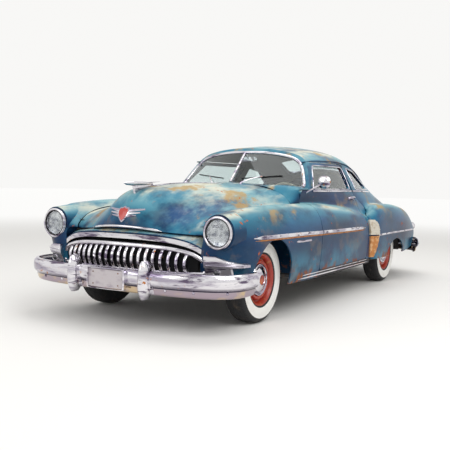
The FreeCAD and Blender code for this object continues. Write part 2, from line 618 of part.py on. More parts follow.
REAR_WING_RAIL_SHARES = {
    "bottom": (
        (-0.2347, 0.926, 0.3579), (-0.2385, 0.955, 0.3537), (-0.2642, 0.976, 0.3495),
        (-0.3774, 0.982, 0.3474), (-0.5283, 0.982, 0.3495), (-0.6792, 0.975, 0.3600),
        (-0.8113, 0.945, 0.3874), (-0.8830, 0.895, 0.4126), (-0.9208, 0.812, 0.4253),
        (-0.9321, 0.650, 0.4316),
    ),
    "low": (
        (-0.2309, 0.946, 0.4737), (-0.2347, 0.972, 0.4716), (-0.2623, 0.990, 0.4695),
        (-0.3774, 0.996, 0.4695), (-0.5283, 0.996, 0.4716), (-0.6792, 0.990, 0.4789),
        (-0.8113, 0.962, 0.4905), (-0.8875, 0.915, 0.4989), (-0.9268, 0.825, 0.5032),
        (-0.9374, 0.652, 0.5053),
    ),
    "waist": (
        (-0.2287, 0.950, 0.6211), (-0.2325, 0.982, 0.6232), (-0.2604, 1.000, 0.6253),
        (-0.3774, 1.003, 0.6316), (-0.5283, 1.003, 0.6316), (-0.6792, 0.995, 0.6211),
        (-0.8113, 0.966, 0.6021), (-0.8906, 0.918, 0.5853), (-0.9298, 0.828, 0.5737),
        (-0.9396, 0.652, 0.5632),
    ),
    "haunch": (
        (-0.2309, 0.928, 0.7421), (-0.2355, 0.962, 0.7526), (-0.2642, 0.986, 0.7789),
        (-0.3774, 0.990, 0.8158), (-0.5283, 0.988, 0.8158), (-0.6792, 0.975, 0.7842),
        (-0.8113, 0.942, 0.7263), (-0.8875, 0.890, 0.6737), (-0.9253, 0.808, 0.6400),
        (-0.9381, 0.650, 0.6158),
    ),
    "crown": (
        (-0.2453, 0.868, 0.8526), (-0.2521, 0.892, 0.8737), (-0.2811, 0.912, 0.9137),
        (-0.3774, 0.915, 0.9600), (-0.5283, 0.908, 0.9558), (-0.6792, 0.892, 0.9137),
        (-0.8113, 0.862, 0.8337), (-0.8811, 0.818, 0.7495), (-0.9170, 0.765, 0.6968),
        (-0.9351, 0.646, 0.6526),
    ),
    "inner": (
        (-0.2774, 0.800, 0.9316), (-0.2830, 0.806, 0.9400), (-0.3019, 0.806, 0.9558),
        (-0.3774, 0.800, 0.9705), (-0.5283, 0.785, 0.9526), (-0.6792, 0.762, 0.9074),
        (-0.8113, 0.735, 0.8316), (-0.8755, 0.712, 0.7600), (-0.9075, 0.690, 0.7158),
        (-0.9313, 0.640, 0.6789),
    ),
}


def rail(table, line):
    return [at(*shares) for shares in table[line]]


belt = [at(*shares) for shares in BELT_SHARES]


def cabin_rail(line):
    points = []
    for (along, across, rise), base in zip(CABIN_SHARES[line], belt):
        height = base.z + rise * car.cabin_rise
        points.append(Vector(along * car.half_length, across * car.half_width, height))
    return points


def other_side(points):
    return [Vector(point.x, -point.y, point.z) for point in points]


def both_sides(rows):
    """Rows from the left edge to the middle line, carried on to the right edge."""
    return rows + [other_side(points) for points in reversed(rows[:-1])]


# Roof, pillars and tail: one surface from waist to waist

cabin_rows = [belt] + [cabin_rail(line) for line in ("glass", "drip", "shoulder", "roof", "centre")]
cabin = smooth(both_sides(cabin_rows))
cabin_row = [row_at(cabin, points[3]) for points in cabin_rows]
cabin_column = [column_at(cabin, point) for point in cabin_rows[2]]


def cabin_station(share):
    """The surface's column between two of its stations, counted from the front."""
    whole = min(int(share), len(cabin_column) - 2)
    return cabin_column[whole] + (share - whole) * (cabin_column[whole + 1] - cabin_column[whole])


# Side of the body from the rocker to the gutter, with the wing's crown running into it

front_wing = smooth([rail(SIDE_RAIL_SHARES, line) for line in SIDE_RAIL_SHARES])

SIDE_STATION_SHARES = (-0.2717, -0.1132, 0.0943, 0.3019, 0.3585)
DOOR_DEPTH_SHARES = (0.63, 0.80, 0.94, 1.0, 0.95, 0.74, 0.50, 0.44, 0.40, 0.38, 0.36)


def through(points, place):
    """Where a smooth line through the points crosses a place along the car."""
    line = Part.BSplineCurve()
    line.interpolate(points)
    first, last = line.FirstParameter, line.LastParameter
    rising = points[-1].x > points[0].x
    for step in range(48):
        middle = (first + last) / 2
        if (line.value(middle).x < place) == rising:
            first = middle
        else:
            last = middle
    return line.value((first + last) / 2)


side_rails = [rail(SIDE_RAIL_SHARES, line)[:6] for line in SIDE_RAIL_SHARES]
side_rails += [rail(UPPER_RAIL_SHARES, "upper"), belt[:6], cabin_rail("glass")[:6], cabin_rail("drip")[:6]]
side_rows = []
side_lining_rows = []
for points, depth_share in zip(side_rails, DOOR_DEPTH_SHARES):
    row = [through(points, share * car.half_length) for share in SIDE_STATION_SHARES]
    depth = depth_share * car.door_depth
    side_rows.append(row)
    side_lining_rows.append([Vector(p.x, p.y - depth, p.z) for p in row])
side = smooth(side_rows)
side_slab = closed_between(side, smooth(side_lining_rows, side.getUKnots(), side.getVKnots()))

# Door outline in the side view

door_outline = side_face((
    (car.door_front_x, car.sill_top),
    (car.door_front_x, car.belt_top),
    (car.pillar_foot_x, car.belt_top),
    (car.pillar_head_x, car.door_top),
    (car.door_rear_x, car.door_top),
    (car.door_rear_x, car.sill_top),
))
door_prism = across_car(door_outline, 0, car.far, car.door_corner)
opening_prism = across_car(grown(door_outline, car.shut_gap), 0, car.far,
                           car.door_corner)
opening_both = across_car(grown(door_outline, car.shut_gap), -car.far, car.far,
                          car.door_corner)

# Windscreen rake: everything ahead of the raked glass line is cut off the roof and pillars

SCREEN_PLAN_SHARES = ((1.0, 0.0), (0.944, 0.25), (0.846, 0.48), (0.736, 0.64), (0.61, 0.80))
rake = Vector(-car.screen_lean, 0, car.screen_rise)


def ahead_of_screen(setback):
    """The space ahead of the glass line, which is creased at the middle and raked back."""
    points = [Vector(along * car.screen_x - setback, across * car.half_width, car.screen_foot)
              for along, across in SCREEN_PLAN_SHARES]
    left = Part.BSplineCurve()
    left.interpolate(points[::-1])
    right = Part.BSplineCurve()
    right.interpolate(other_side(points))
    start, end = points[-1], other_side(points)[-1]
    front = [Vector(car.half_length, end.y, end.z), Vector(car.half_length, start.y, start.z)]
    wire = Part.Wire([left.toShape(), right.toShape()]
                     + Part.makePolygon([end] + front + [start]).Edges)
    return Part.Face(wire).translated(rake * -1).extrude(rake * 3)


# Cowl: the sheet between bonnet and windscreen, with the firewall under it

cowl_surface = smooth(both_sides([rail(COWL_RAIL_SHARES, line) for line in COWL_RAIL_SHARES]))
cowl_top = sheet_metal(cowl_surface, car.skin)
side_room = block(Vector(-car.half_length, car.cowl_side_y, 0),
                  Vector(car.half_length, car.half_length, car.half_length))
door_room = opening_prism.common(side_room)
door_rooms = Part.makeCompound([door_room, mirrored(door_room)])
cowl_top = nearest_solid(cowl_top.cut(door_rooms), Vector(car.screen_x, 0, car.screen_foot))


def section(surface, depth, place):
    """A surface's cut by a plane across the car, as points from its lower edge upwards."""
    wire = lining(surface, depth).toShape().slice(Vector(1, 0, 0), place)[0]
    points = [point for point in wire.discretize(60) if point.y >= 0]
    if points[0].z > points[-1].z:
        points.reverse()
    return points


def bulkhead(place, thickness, foot, clearance):
    """A wall across the car that fills it from the wings' inner faces to the cowl."""
    left = section(front_wing, car.skin + clearance, place)
    lowest = [point for point in left if point.z <= foot or point is left[0]][-1]
    left = [point for point in left if point.z > foot]
    left = [Vector(place, min(lowest.y, left[0].y), foot)] + left
    left += section(cowl_surface, car.skin + clearance, place)
    outline = left + other_side(left[::-1])
    return Part.Face(Part.makePolygon(outline + outline[:1])).extrude(Vector(thickness, 0, 0))


floor_foot = car.floor_top - car.floor_sheet
firewall = bulkhead(car.firewall_x, car.skin, car.floor_top + car.seat_gap, car.seat_gap)
firewall = firewall.cut(Part.makeCylinder(car.tunnel_radius + car.seat_gap, car.far,
                                          Vector(0, 0, floor_foot), Vector(1, 0, 0)))
keep("cowl", Part.makeCompound([cowl_top, firewall]))

# Roof with its pillars, windscreen header and the part round the rear window

roof_rear = cabin_station(car.roof_end_share)
door_head = cabin_station(car.pillar_share)
full_width = (0, 1)
between_gutters = (cabin_row[2], 1 - cabin_row[2])
roof = sheet_metal(cabin, car.wall, full_width, (0, door_head))
roof = roof.fuse(sheet_metal(cabin, car.wall, between_gutters, (door_head, roof_rear)))


def plan_prism(corners, rounding):
    """A window cut from above: places along and across, mirrored to the other side."""
    points = [Vector(x, y, 0) for x, y in corners]
    points += [Vector(x, -y, 0) for x, y in reversed(corners)]
    face = Part.Face(Part.makePolygon(points + points[:1]))
    solid = face.extrude(Vector(0, 0, car.half_length))
    corners = [edge for edge in solid.Edges if abs(edge.tangentAt(edge.FirstParameter).z) > 0.99]
    return solid.makeFillet(rounding, corners)


def rear_window_prism(inset):
    half_top = car.rear_window_half * 0.93
    return plan_prism((
        (car.rear_window_top_x - inset, half_top - inset),
        (car.rear_window_foot_x + inset, car.rear_window_half - inset),
    ), car.rear_window_corner - inset)


roof = roof.cut(Part.makeCompound([ahead_of_screen(0), opening_both, rear_window_prism(0)]))
roof = roof.cut(cowl_top)
roof = nearest_solid(roof, Vector(0, 0, car.crown_height + car.cabin_rise))
keep("roof", roof)

# Tail: rear deck round the boot lid, and the full-width panel over the bumper

tail_start = cabin_station(car.tail_start_share)
tail = sheet_metal(cabin, car.wall, between_gutters, (roof_rear, tail_start))
tail = tail.fuse(sheet_metal(cabin, car.wall, full_width, (tail_start, 1)))
deck_downhill = Vector(-math.cos(math.radians(car.deck_slope)), 0, -math.sin(math.radians(car.deck_slope)))
deck_up = Vector(deck_downhill.z, 0, -deck_downhill.x)
LID_SHARES = ((0.0, 0.86), (0.35, 1.0), (0.8, 0.98), (1.0, 0.80))


def lid_prism(growth):
    """The boot lid's outline, seen square to the rear deck."""
    start = Vector(car.lid_top_x, 0, car.lid_top_z)
    left = []
    for down, half in LID_SHARES:
        reach = -growth if down == 0 else (growth if down == 1 else 0)
        place = start + deck_downhill * (down * car.lid_length + reach)
        left.append(place + Vector(0, half * car.lid_half + growth, 0))
    points = left + other_side(left[::-1])
    face = Part.Face(Part.makePolygon(points + points[:1]))
    solid = face.translated(deck_up * -car.lid_reach).extrude(deck_up * (2 * car.lid_reach))
    corners = [edge for edge in solid.Edges
               if abs(edge.tangentAt(edge.FirstParameter).dot(deck_up)) > 0.99]
    return solid.makeFillet(car.lid_corner, [corners[0], corners[3], corners[4], corners[7]])


lid_panel = sheet_metal(cabin, car.lid_wall, between_gutters, (roof_rear, 1))
boot_lid = nearest_solid(lid_panel.common(lid_prism(0)), Vector(car.lid_top_x, 0, car.lid_top_z))
keep("boot_lid", boot_lid)
tail = nearest_solid(tail.cut(lid_prism(car.shut_gap)), Vector(-car.half_length, 0, 0))
keep("tail_panel", tail)

# Quarter and rear wing: one surface from the gutter down to the wing's lower edge

QUARTER_STATION_SHARES = (3.49, 3.72, 4.06, 4.66, 5.72, 7.0, 8.12, 9.0, 9.55, 10.0)
wing_rows = {line: rail(REAR_WING_RAIL_SHARES, line) for line in REAR_WING_RAIL_SHARES}
quarter_columns = [cabin_station(share) for share in QUARTER_STATION_SHARES]
gutter_row = [cabin.value(cabin_row[2], column) - Vector(0, 0, car.gutter_gap) for column in quarter_columns]
glass_row = [cabin.value(cabin_row[1], column) for column in quarter_columns]
waist_row = [cabin.value(0, column) for column in quarter_columns]
VALLEY_SHARES = ((0.30, 0.030), (0.36, 0.022), (0.45, 0.012), (0.5, 0.012), (0.5, 0.010),
                 (0.5, 0.010), (0.5, 0.008), (0.5, 0.005), (0.5, 0.002), (0.5, 0.0))
valley_row = []
for top, foot, (share, dip) in zip(waist_row, wing_rows["inner"], VALLEY_SHARES):
    point = top + (foot - top) * share
    valley_row.append(point - Vector(0, 0, dip * car.crown_height))
quarter_rows = [gutter_row, glass_row, waist_row, valley_row]
quarter_rows += [wing_rows[line] for line in ("inner", "crown", "haunch", "waist", "low", "bottom")]
quarter = smooth(quarter_rows)
wing_top = row_at(quarter, wing_rows["inner"][4])
valley_share = row_at(quarter, valley_row[4])


def window_prism(corners, inset, rounding):
    face = side_face(corners)
    if inset > 0:
        face = grown(face, -inset)
    return across_car(face, 0, car.far, rounding - inset)


quarter_window = (
    (car.quarter_window_front_x, car.glass_sill),
    (car.quarter_window_front_x, car.glass_head),
    (car.quarter_window_head_x, car.glass_head - car.quarter_window_drop),
    (car.quarter_window_rear_x, car.glass_sill),
)
quarter_upper = sheet_metal(quarter, car.wall, (0, wing_top))
edge_spread = car.seat_gap / car.half_width
roof_room = sheet_metal(
    cabin, car.wall + car.seat_gap,
    (between_gutters[0] - edge_spread, 1), (cabin_station(car.pillar_share - 1), 1),
    start=-car.seat_gap)
tail_room = sheet_metal(
    cabin, car.wall + car.seat_gap, full_width, (tail_start - edge_spread, 1), start=-car.seat_gap)
quarter_upper = quarter_upper.cut(Part.makeCompound([
    window_prism(quarter_window, 0, car.glass_corner), opening_prism, roof_room, tail_room]))
quarter_upper = nearest_solid(quarter_upper, waist_row[4])
front_edge = [Vector(point.x + car.pod_gap, 0, point.z) for point in quarter.vIso(0).toShape().discretize(40)]
top_place = Vector(front_edge[0].x, 0, car.far)
low_place = Vector(front_edge[-1].x, 0, 0)
edge_points = [top_place] + front_edge + [low_place]
behind = [Vector(-car.half_length, 0, 0), Vector(-car.half_length, 0, car.far)]
behind_quarter = Part.Face(Part.makePolygon(edge_points + behind + edge_points[:1]))
behind_quarter = behind_quarter.extrude(Vector(0, car.far, 0))
ahead_of_door = block(Vector(car.door_rear_x, 0, 0), Vector(car.half_length, car.far, car.far))
above_rocker = block(Vector(-car.half_length, 0, 0),
                     Vector(car.half_length, car.far, car.sill_top - car.shut_gap))
quarter_lower = side_slab.cut(Part.makeCompound([opening_prism, behind_quarter, ahead_of_door, above_rocker]))
quarter_lower = quarter_lower.cut(roof)
quarter_left = keep("quarter_left", Part.makeCompound([quarter_upper] + quarter_lower.Solids))
keep_mirror("quarter_right", quarter_left)


def arch(middle, half, top):
    """A wheel arch: straight sides up to the spring line, then one arc."""
    spring = min(car.arch_spring, top - (top - car.sill_top) * 0.6)
    left, right = middle - half, middle + half
    curve = Part.Arc(Vector(left, 0, spring), Vector(middle, 0, top), Vector(right, 0, spring))
    legs = Part.makePolygon([Vector(right, 0, spring), Vector(right, 0, 0), Vector(left, 0, 0),
                             Vector(left, 0, spring)])
    return Part.Face(Part.Wire([curve.toShape()] + legs.Edges)).extrude(Vector(0, car.far, 0))


rear_wing = sheet_metal(quarter, car.skin, (wing_top, 1))
rear_wing = rear_wing.cut(arch(car.rear_arch_x, car.rear_arch_half, car.rear_arch_top))
wing_shoulder = Vector(car.rear_axle_x, car.half_width, car.crown_height)
rear_fender_left = keep("rear_fender_left", nearest_solid(rear_wing, wing_shoulder))
keep_mirror("rear_fender_right", rear_fender_left)

# Front wing with its wheel arch and the round housing that the headlamp sits in

lamp_axis = Vector(1, 0, 0)
lamp_middle = Vector(car.headlamp_x, car.headlamp_y, car.headlamp_z)


def lamp_cylinder(radius, back, front):
    return Part.makeCylinder(radius, front - back, Vector(back, car.headlamp_y, car.headlamp_z), lamp_axis)


front_panel = sheet_metal(front_wing, car.skin)
behind_wing = block(Vector(-car.half_length, 0, 0),
                    Vector(car.door_front_x + car.shut_gap, car.far, car.far))
shroud = Part.makeCone(car.shroud_back_radius, car.headlamp_radius + car.skin, car.shroud_length,
                       lamp_middle - lamp_axis * car.shroud_length, lamp_axis)
front_panel = front_panel.cut(Part.makeCompound([
    behind_wing, arch(car.front_arch_x, car.front_arch_half, car.front_arch_top)]))
lamp_back = car.headlamp_x - car.shroud_length
front_panel = front_panel.fuse(shroud)
front_panel = front_panel.cut(lamp_cylinder(car.headlamp_radius + car.seat_gap, lamp_back - car.overrun,
                                            car.headlamp_x + car.overrun))
front_fender_left = keep("front_fender_left", front_panel)
keep_mirror("front_fender_right", front_fender_left)

# Bonnet

bonnet_surface = smooth(both_sides([rail(BONNET_RAIL_SHARES, line) for line in BONNET_RAIL_SHARES]))
keep("bonnet", sheet_metal(bonnet_surface, car.skin))

# Doors, cut from the side and hollowed only at their windows

door_window = (
    (car.door_rear_x + car.frame_post, car.glass_sill),
    (car.door_rear_x + car.frame_post, car.glass_head),
    (car.pillar_head_x + car.frame_lean, car.glass_head),
    (car.pillar_foot_x - car.frame_foot, car.glass_sill),
)
door = side_slab.common(door_prism).cut(window_prism(door_window, 0, car.glass_corner))
door_left = keep("door_left", nearest_solid(door, Vector(0, car.half_width, car.crown_height / 2)))
keep_mirror("door_right", door_left)
side_pane = sheet_metal(side, car.glass_depth + car.glass_thickness, start=car.glass_depth)
door_pane = side_pane.common(window_prism(door_window, car.glass_fit, car.glass_corner))
door_glass_left = keep("door_glass_left", door_pane)
keep_mirror("door_glass_right", door_glass_left)

# Wheels and tyres, turned about their axles

def bound(formula):
    """A formula in the sheet's names, as the sketches read it."""
    words = []
    for word in formula.split():
        words.append(f"sizes.{word}" if word[0].isalpha() else word)
    return " ".join(words)


def turned(name, outline, place, turn):
    """A body of revolution.  The outline gives places along the axle and out from it."""
    body = doc.addObject("PartDesign::Body", name)
    body.Label = name
    sketch = body.newObject("Sketcher::SketchObject", f"{name}_outline")
    plane = [item for item in body.Origin.OriginFeatures if item.Role == "XY_Plane"][0]
    sketch.AttachmentSupport = [(plane, "")]
    sketch.MapMode = "FlatFace"
    formulas = [(bound(along), bound(out)) for along, out in outline]
    corners = [Vector(float(sheet.evalExpression(along)), float(sheet.evalExpression(out)), 0)
               for along, out in formulas]
    for corner, following in zip(corners, corners[1:] + corners[:1]):
        sketch.addGeometry(Part.LineSegment(corner, following), False)
    count = len(corners)
    for index in range(count):
        sketch.addConstraint(Sketcher.Constraint("Coincident", index, 2, (index + 1) % count, 1))
    for index, (along, out) in enumerate(formulas):
        corner = corners[index]
        number = sketch.addConstraint(Sketcher.Constraint("DistanceX", -1, 1, index, 1, corner.x))
        sketch.setExpression(f"Constraints[{number}]", along)
        if corner.y == 0:
            sketch.addConstraint(Sketcher.Constraint("PointOnObject", index, 1, -1))
            continue
        number = sketch.addConstraint(Sketcher.Constraint("DistanceY", -1, 1, index, 1, corner.y))
        sketch.setExpression(f"Constraints[{number}]", out)
    doc.recompute()
    form = body.newObject("PartDesign::Revolution", f"{name}_form")
    form.Profile = sketch
    form.ReferenceAxis = (sketch, ["H_Axis"])
    form.Angle = 360
    body.Placement = Placement(Vector(0, 0, 0), Rotation(Vector(0, 0, 1), turn))
    for axis, formula in zip("xyz", place):
        body.setExpression(f"Placement.Base.{axis}", bound(formula))
    NODES.append(body)
    return body


SIDEWALL_SHARES = ((0.98, 0.30), (1.0, 0.52), (0.90, 0.87), (0.56, 1.0))


def tyre_outline():
    bead = "rim_width / 2 - rim_wall - seat_gap"
    right = [(bead, "bead_radius"), (bead, "bead_radius + rim_lip + seat_gap")]
    for wide, out in SIDEWALL_SHARES:
        right.append((f"tyre_width / 2 * {wide}", f"bead_radius + ( tyre_radius - bead_radius ) * {out}"))
    left = [(f"0 - ( {along} )", out) for along, out in reversed(right)]
    return right + left


def wheel_outline():
    """Rim with its drop centre, the raised ring of the disc, the hub cap and the hub's bore."""
    lip = "bead_radius + rim_lip"
    seat = "bead_radius - seat_gap"
    rim = [
        ("0 - rim_width / 2", lip),
        ("0 - rim_width / 2 + rim_wall", lip),
        ("0 - rim_width / 2 + rim_wall", seat),
        ("0 - well_half - rim_wall", seat),
        ("0 - well_half", "bead_radius - well_depth"),
        ("well_half", "bead_radius - well_depth"),
        ("well_half + rim_wall", seat),
        ("rim_width / 2 - rim_wall", seat),
        ("rim_width / 2 - rim_wall", lip),
        ("rim_width / 2", lip),
        ("rim_width / 2", "bead_radius - rim_wall"),
        ("well_half + rim_wall * 2", "bead_radius - rim_wall"),
    ]
    front = [
        ("disc_face", "dish_radius + rim_wall"),
        ("disc_face + dish_rise", "dish_radius"),
        ("disc_face + dish_rise", "dish_radius - rim_wall * 2"),
        ("disc_face + rim_wall", "cap_radius + rim_wall"),
        ("disc_face + rim_wall", "cap_radius"),
        ("disc_face + rim_wall + cap_rise * 0.55", "cap_radius * 0.9"),
        ("disc_face + rim_wall + cap_rise * 0.88", "cap_radius * 0.6"),
        ("disc_face + rim_wall + cap_rise", "cap_radius * 0.25"),
        ("disc_face + rim_wall + cap_rise", "0"),
    ]
    back = [
        ("disc_face + rim_wall", "0"),
        ("disc_face + rim_wall", "shaft_radius + axle_fit"),
        ("0 - hub_reach", "shaft_radius + axle_fit"),
        ("0 - hub_reach", "hub_radius"),
        ("disc_face - rim_wall", "hub_radius"),
        ("disc_face - rim_wall", "cap_radius + rim_wall"),
        ("disc_face + dish_rise - rim_wall", "dish_radius - rim_wall * 2"),
        ("well_half", "bead_radius - well_depth - rim_wall"),
        ("0 - well_half", "bead_radius - well_depth - rim_wall"),
        ("0 - well_half - rim_wall", "bead_radius - rim_wall"),
        ("0 - rim_width / 2", "bead_radius - rim_wall"),
    ]
    return rim + front + back


for end, axle, track in (("front", "front_axle_x", "front_wheel_y"), ("rear", "rear_axle_x", "rear_wheel_y")):
    for hand, sign, turn in (("left", "", 90), ("right", "0 - ", -90)):
        spot = (axle, f"{sign}{track}", "tyre_radius")
        turned(f"tyre_{end}_{hand}", tyre_outline(), spot, turn)
        turned(f"wheel_{end}_{hand}", wheel_outline(), spot, turn)

# Floor pan with its tunnel, rockers, step, boot floor and rear wheel boxes

boot_foot = car.boot_floor_top - car.floor_sheet
tunnel_reach = car.floor_front_x - car.riser_x
tunnel_start = Vector(car.riser_x, 0, floor_foot)
tunnel_outer = Part.makeCylinder(car.tunnel_radius, tunnel_reach, tunnel_start, Vector(1, 0, 0))
tunnel_room = Part.makeCylinder(car.tunnel_radius - car.floor_sheet, tunnel_reach + car.far,
                                Vector(-car.far / 2, 0, floor_foot), Vector(1, 0, 0))
pan = block(Vector(car.riser_x, -car.floor_half, floor_foot),
            Vector(car.floor_front_x, car.floor_half, car.floor_top))
riser = block(Vector(car.riser_x - car.floor_sheet, -car.boot_floor_half, floor_foot),
              Vector(car.riser_x, car.boot_floor_half, car.boot_floor_top))
boot_floor = block(Vector(car.boot_rear_x, -car.boot_floor_half, boot_foot),
                   Vector(car.riser_x, car.boot_floor_half, car.boot_floor_top))
above_floor = block(Vector(-car.far, -car.far, floor_foot), Vector(car.far, car.far, car.far))
rocker_room = block(Vector(-car.half_length, 0, 0),
                    Vector(car.door_front_x, car.far, car.sill_top - car.shut_gap))
rocker = side_slab.common(rocker_room).cut(behind_quarter)
house_radius = car.tyre_radius + car.wheelhouse_gap
axle_line = Vector(0, 1, 0)


def house_cylinder(radius, inner, outer):
    foot = Vector(car.rear_axle_x, inner, car.tyre_radius)
    return Part.makeCylinder(radius, outer - inner, foot, axle_line)


wheel_box = house_cylinder(house_radius + car.floor_sheet, car.wheelhouse_inner_y, car.wheelhouse_outer_y)
wheel_box = wheel_box.cut(house_cylinder(house_radius, car.wheelhouse_inner_y + car.floor_sheet, car.far))
wheel_box = wheel_box.common(block(Vector(-car.far, 0, car.tyre_radius), Vector(0, car.far, car.far)))
axle_reach = car.axle_radius + car.overrun
wheel_box = wheel_box.cut(block(
    Vector(car.rear_axle_x - axle_reach, car.wheelhouse_inner_y - car.floor_sheet, car.tyre_radius),
    Vector(car.rear_axle_x + axle_reach, car.wheelhouse_inner_y + car.floor_sheet * 2,
           car.tyre_radius + axle_reach)))
floor = tunnel_outer.common(above_floor).multiFuse(
    [pan, riser, boot_floor, rocker, mirrored(rocker), wheel_box, mirrored(wheel_box)])
tunnel_hole = tunnel_room.common(block(Vector(car.riser_x - car.floor_sheet, -car.far, 0),
                                       Vector(car.far, car.far, boot_foot)))
floor = floor.cut(tunnel_hole)
keep("floor", floor)

# Frame: two side members that rise over the axles, tied by cross members

rail_under_floor = floor_foot - car.seat_gap
rail_under_boot = boot_foot - car.seat_gap
rail_outline = side_face((
    (car.frame_front_x, car.front_rail_top),
    (car.front_kick_x, car.front_rail_top),
    (car.floor_front_x, rail_under_floor),
    (car.riser_x - car.floor_sheet - car.seat_gap, rail_under_floor),
    (car.rear_kick_x, rail_under_boot),
    (car.spring_rear_x + car.overrun, rail_under_boot),
    (car.tail_rail_x - car.overrun * 2, car.tail_rail_top),
    (car.frame_rear_x, car.tail_rail_top),
    (car.frame_rear_x, car.tail_rail_foot),
    (car.tail_rail_x - car.overrun * 2, car.tail_rail_foot),
    (car.tail_rail_x + car.overrun * 3, car.rear_rail_foot),
    (car.rear_kick_x - car.overrun, car.rear_rail_foot),
    (car.riser_x - car.overrun, car.rail_foot),
    (car.front_kick_start_x, car.rail_foot),
    (car.front_kick_x, car.front_rail_foot),
    (car.frame_front_x, car.front_rail_foot + car.skin * 2),
))
rail_outer_y = car.rail_inner_y + car.rail_width
rail_member = across_car(rail_outline, car.rail_inner_y, rail_outer_y)


def cross_member(middle, foot, depth):
    return block(Vector(middle - car.cross_length / 2, -rail_outer_y, foot),
                 Vector(middle + car.cross_length / 2, rail_outer_y, foot + depth))


mount_depth = car.cross_depth / 2
engine_seat = car.engine_foot - car.seat_gap
crosses = [
    cross_member(car.frame_front_x - car.cross_length, car.front_rail_foot + car.skin * 2, car.cross_depth),
    cross_member(car.engine_rear_x - car.cross_length * 2, rail_under_floor - car.cross_depth,
                 car.cross_depth),
    cross_member(car.riser_x, rail_under_floor - car.cross_depth, car.cross_depth),
    cross_member(car.tail_rail_x + car.overrun * 2, car.rear_rail_foot + car.cross_depth / 2,
                 car.cross_depth),
    cross_member(car.frame_rear_x + car.cross_length / 2, car.tail_rail_foot, car.cross_depth),
    block(Vector(car.axle_cross_rear_x, -rail_outer_y, car.axle_cross_foot),
          Vector(car.axle_cross_front_x, rail_outer_y, engine_seat)),
    block(Vector(car.engine_rear_x, -car.rail_inner_y - car.skin, engine_seat - mount_depth),
          Vector(car.engine_rear_x + car.cross_length, car.rail_inner_y + car.skin, engine_seat)),
]
hanger_low = car.spring_y - car.spring_width / 2
hanger_high = car.spring_y + car.spring_width / 2
hangers = [
    block(Vector(car.spring_front_x + car.seat_gap, rail_outer_y - car.skin,
                 car.spring_front_z - car.hanger_length / 2),
          Vector(car.spring_front_x + car.hanger_length, hanger_high, rail_under_floor)),
    block(Vector(car.spring_rear_x - car.hanger_length, rail_outer_y - car.skin,
                 car.spring_rear_z - car.hanger_length / 2),
          Vector(car.spring_rear_x - car.seat_gap, hanger_high, car.tail_rail_top)),
]
tower = block(
    Vector(car.front_axle_x - car.tower_length / 2, rail_outer_y - car.tower_width, car.front_rail_foot),
    Vector(car.front_axle_x + car.tower_length / 2, rail_outer_y, car.upper_arm_z + car.arm_sheet * 2))
one_side = rail_member.multiFuse(hangers + [tower])
keep("frame", one_side.multiFuse([mirrored(one_side)] + crosses))

# Engine, fuel tank: plain solids at their real places

engine = doc.addObject("Part::Box", "engine_block")
engine.Label = "engine_block"
engine.setExpression("Length", bound("engine_front_x - engine_rear_x"))
engine.setExpression("Width", bound("engine_half * 2"))
engine.setExpression("Height", bound("engine_top - engine_foot"))
engine.setExpression("Placement.Base.x", bound("engine_rear_x"))
engine.setExpression("Placement.Base.y", bound("0 - engine_half"))
engine.setExpression("Placement.Base.z", bound("engine_foot"))
NODES.append(engine)

tank = block(Vector(car.tank_rear_x, car.tank_right_y, car.tank_foot),
             Vector(car.tank_front_x, car.tank_left_y, rail_under_boot))
tank_edges = [edge for edge in tank.Edges if edge.BoundBox.ZMax < rail_under_boot]
keep("fuel_tank", tank.makeFillet(car.tank_round, tank_edges))

# Rear axle on its leaf springs, with the propeller shaft

def turned_along(outline, start, direction):
    """A solid of revolution from places along a line and out from it, ends on the line."""
    across = direction.cross(Vector(0, 0, 1))
    if across.Length < 0.1:
        across = Vector(1, 0, 0)
    across.normalize()
    points = [start + direction * along + across * out for along, out in outline]
    face = Part.Face(Part.makePolygon(points + points[:1]))
    return face.revolve(start, direction, 360)


axle_middle = Vector(car.rear_axle_x, 0, car.tyre_radius)
hub_inner = car.rear_wheel_y - car.hub_reach - car.axle_fit * 3
shaft_end = car.rear_wheel_y + car.disc_face
axle_half = turned_along((
    (0, 0), (0, car.differential_radius), (car.differential_radius * 0.45, car.differential_radius * 0.86),
    (car.differential_radius, car.axle_radius), (hub_inner, car.axle_radius),
    (hub_inner, car.shaft_radius), (shaft_end, car.shaft_radius), (shaft_end, 0)), axle_middle, axle_line)
propeller = Part.makeCylinder(car.propeller_radius, car.engine_rear_x - car.seat_gap - car.rear_axle_x,
                              axle_middle, Vector(1, 0, 0))


def leaf_spring():
    half = car.spring_depth / 2
    middle = car.tyre_radius - car.axle_radius - half + car.skin / 2
    places = ((car.spring_front_x, car.spring_front_z), (car.rear_axle_x, middle),
              (car.spring_rear_x, car.spring_rear_z))
    edges = []
    for shift in (half, -half):
        line = Part.BSplineCurve()
        line.interpolate([Vector(x, 0, z + shift) for x, z in places])
        edges.append(line)
    first, second = edges
    ends = [Part.makeLine(first.StartPoint, second.StartPoint),
            Part.makeLine(first.EndPoint, second.EndPoint)]
    wire = Part.Wire(Part.__sortEdges__([first.toShape(), second.toShape()] + ends))
    return Part.Face(wire).translated(Vector(0, hanger_low, 0)).extrude(Vector(0, car.spring_width, 0))


spring = leaf_spring()
keep("rear_axle", axle_half.multiFuse([mirrored(axle_half), propeller, spring, mirrored(spring)]))

# Exhaust: pipe, silencer and tail pipe, bent over the rear axle

silencer_z = floor_foot - car.seat_gap - car.silencer_radius
EXHAUST_ROUTE = (
    (car.engine_rear_x, silencer_z),
    (car.riser_x - car.overrun * 1.2, silencer_z),
    (car.rear_axle_x + car.overrun * 4, car.over_axle_z),
    (car.rear_axle_x - car.overrun * 4, car.over_axle_z),
    (car.tank_front_x, car.tail_pipe_z),
    (car.tail_pipe_x, car.tail_pipe_z),
)


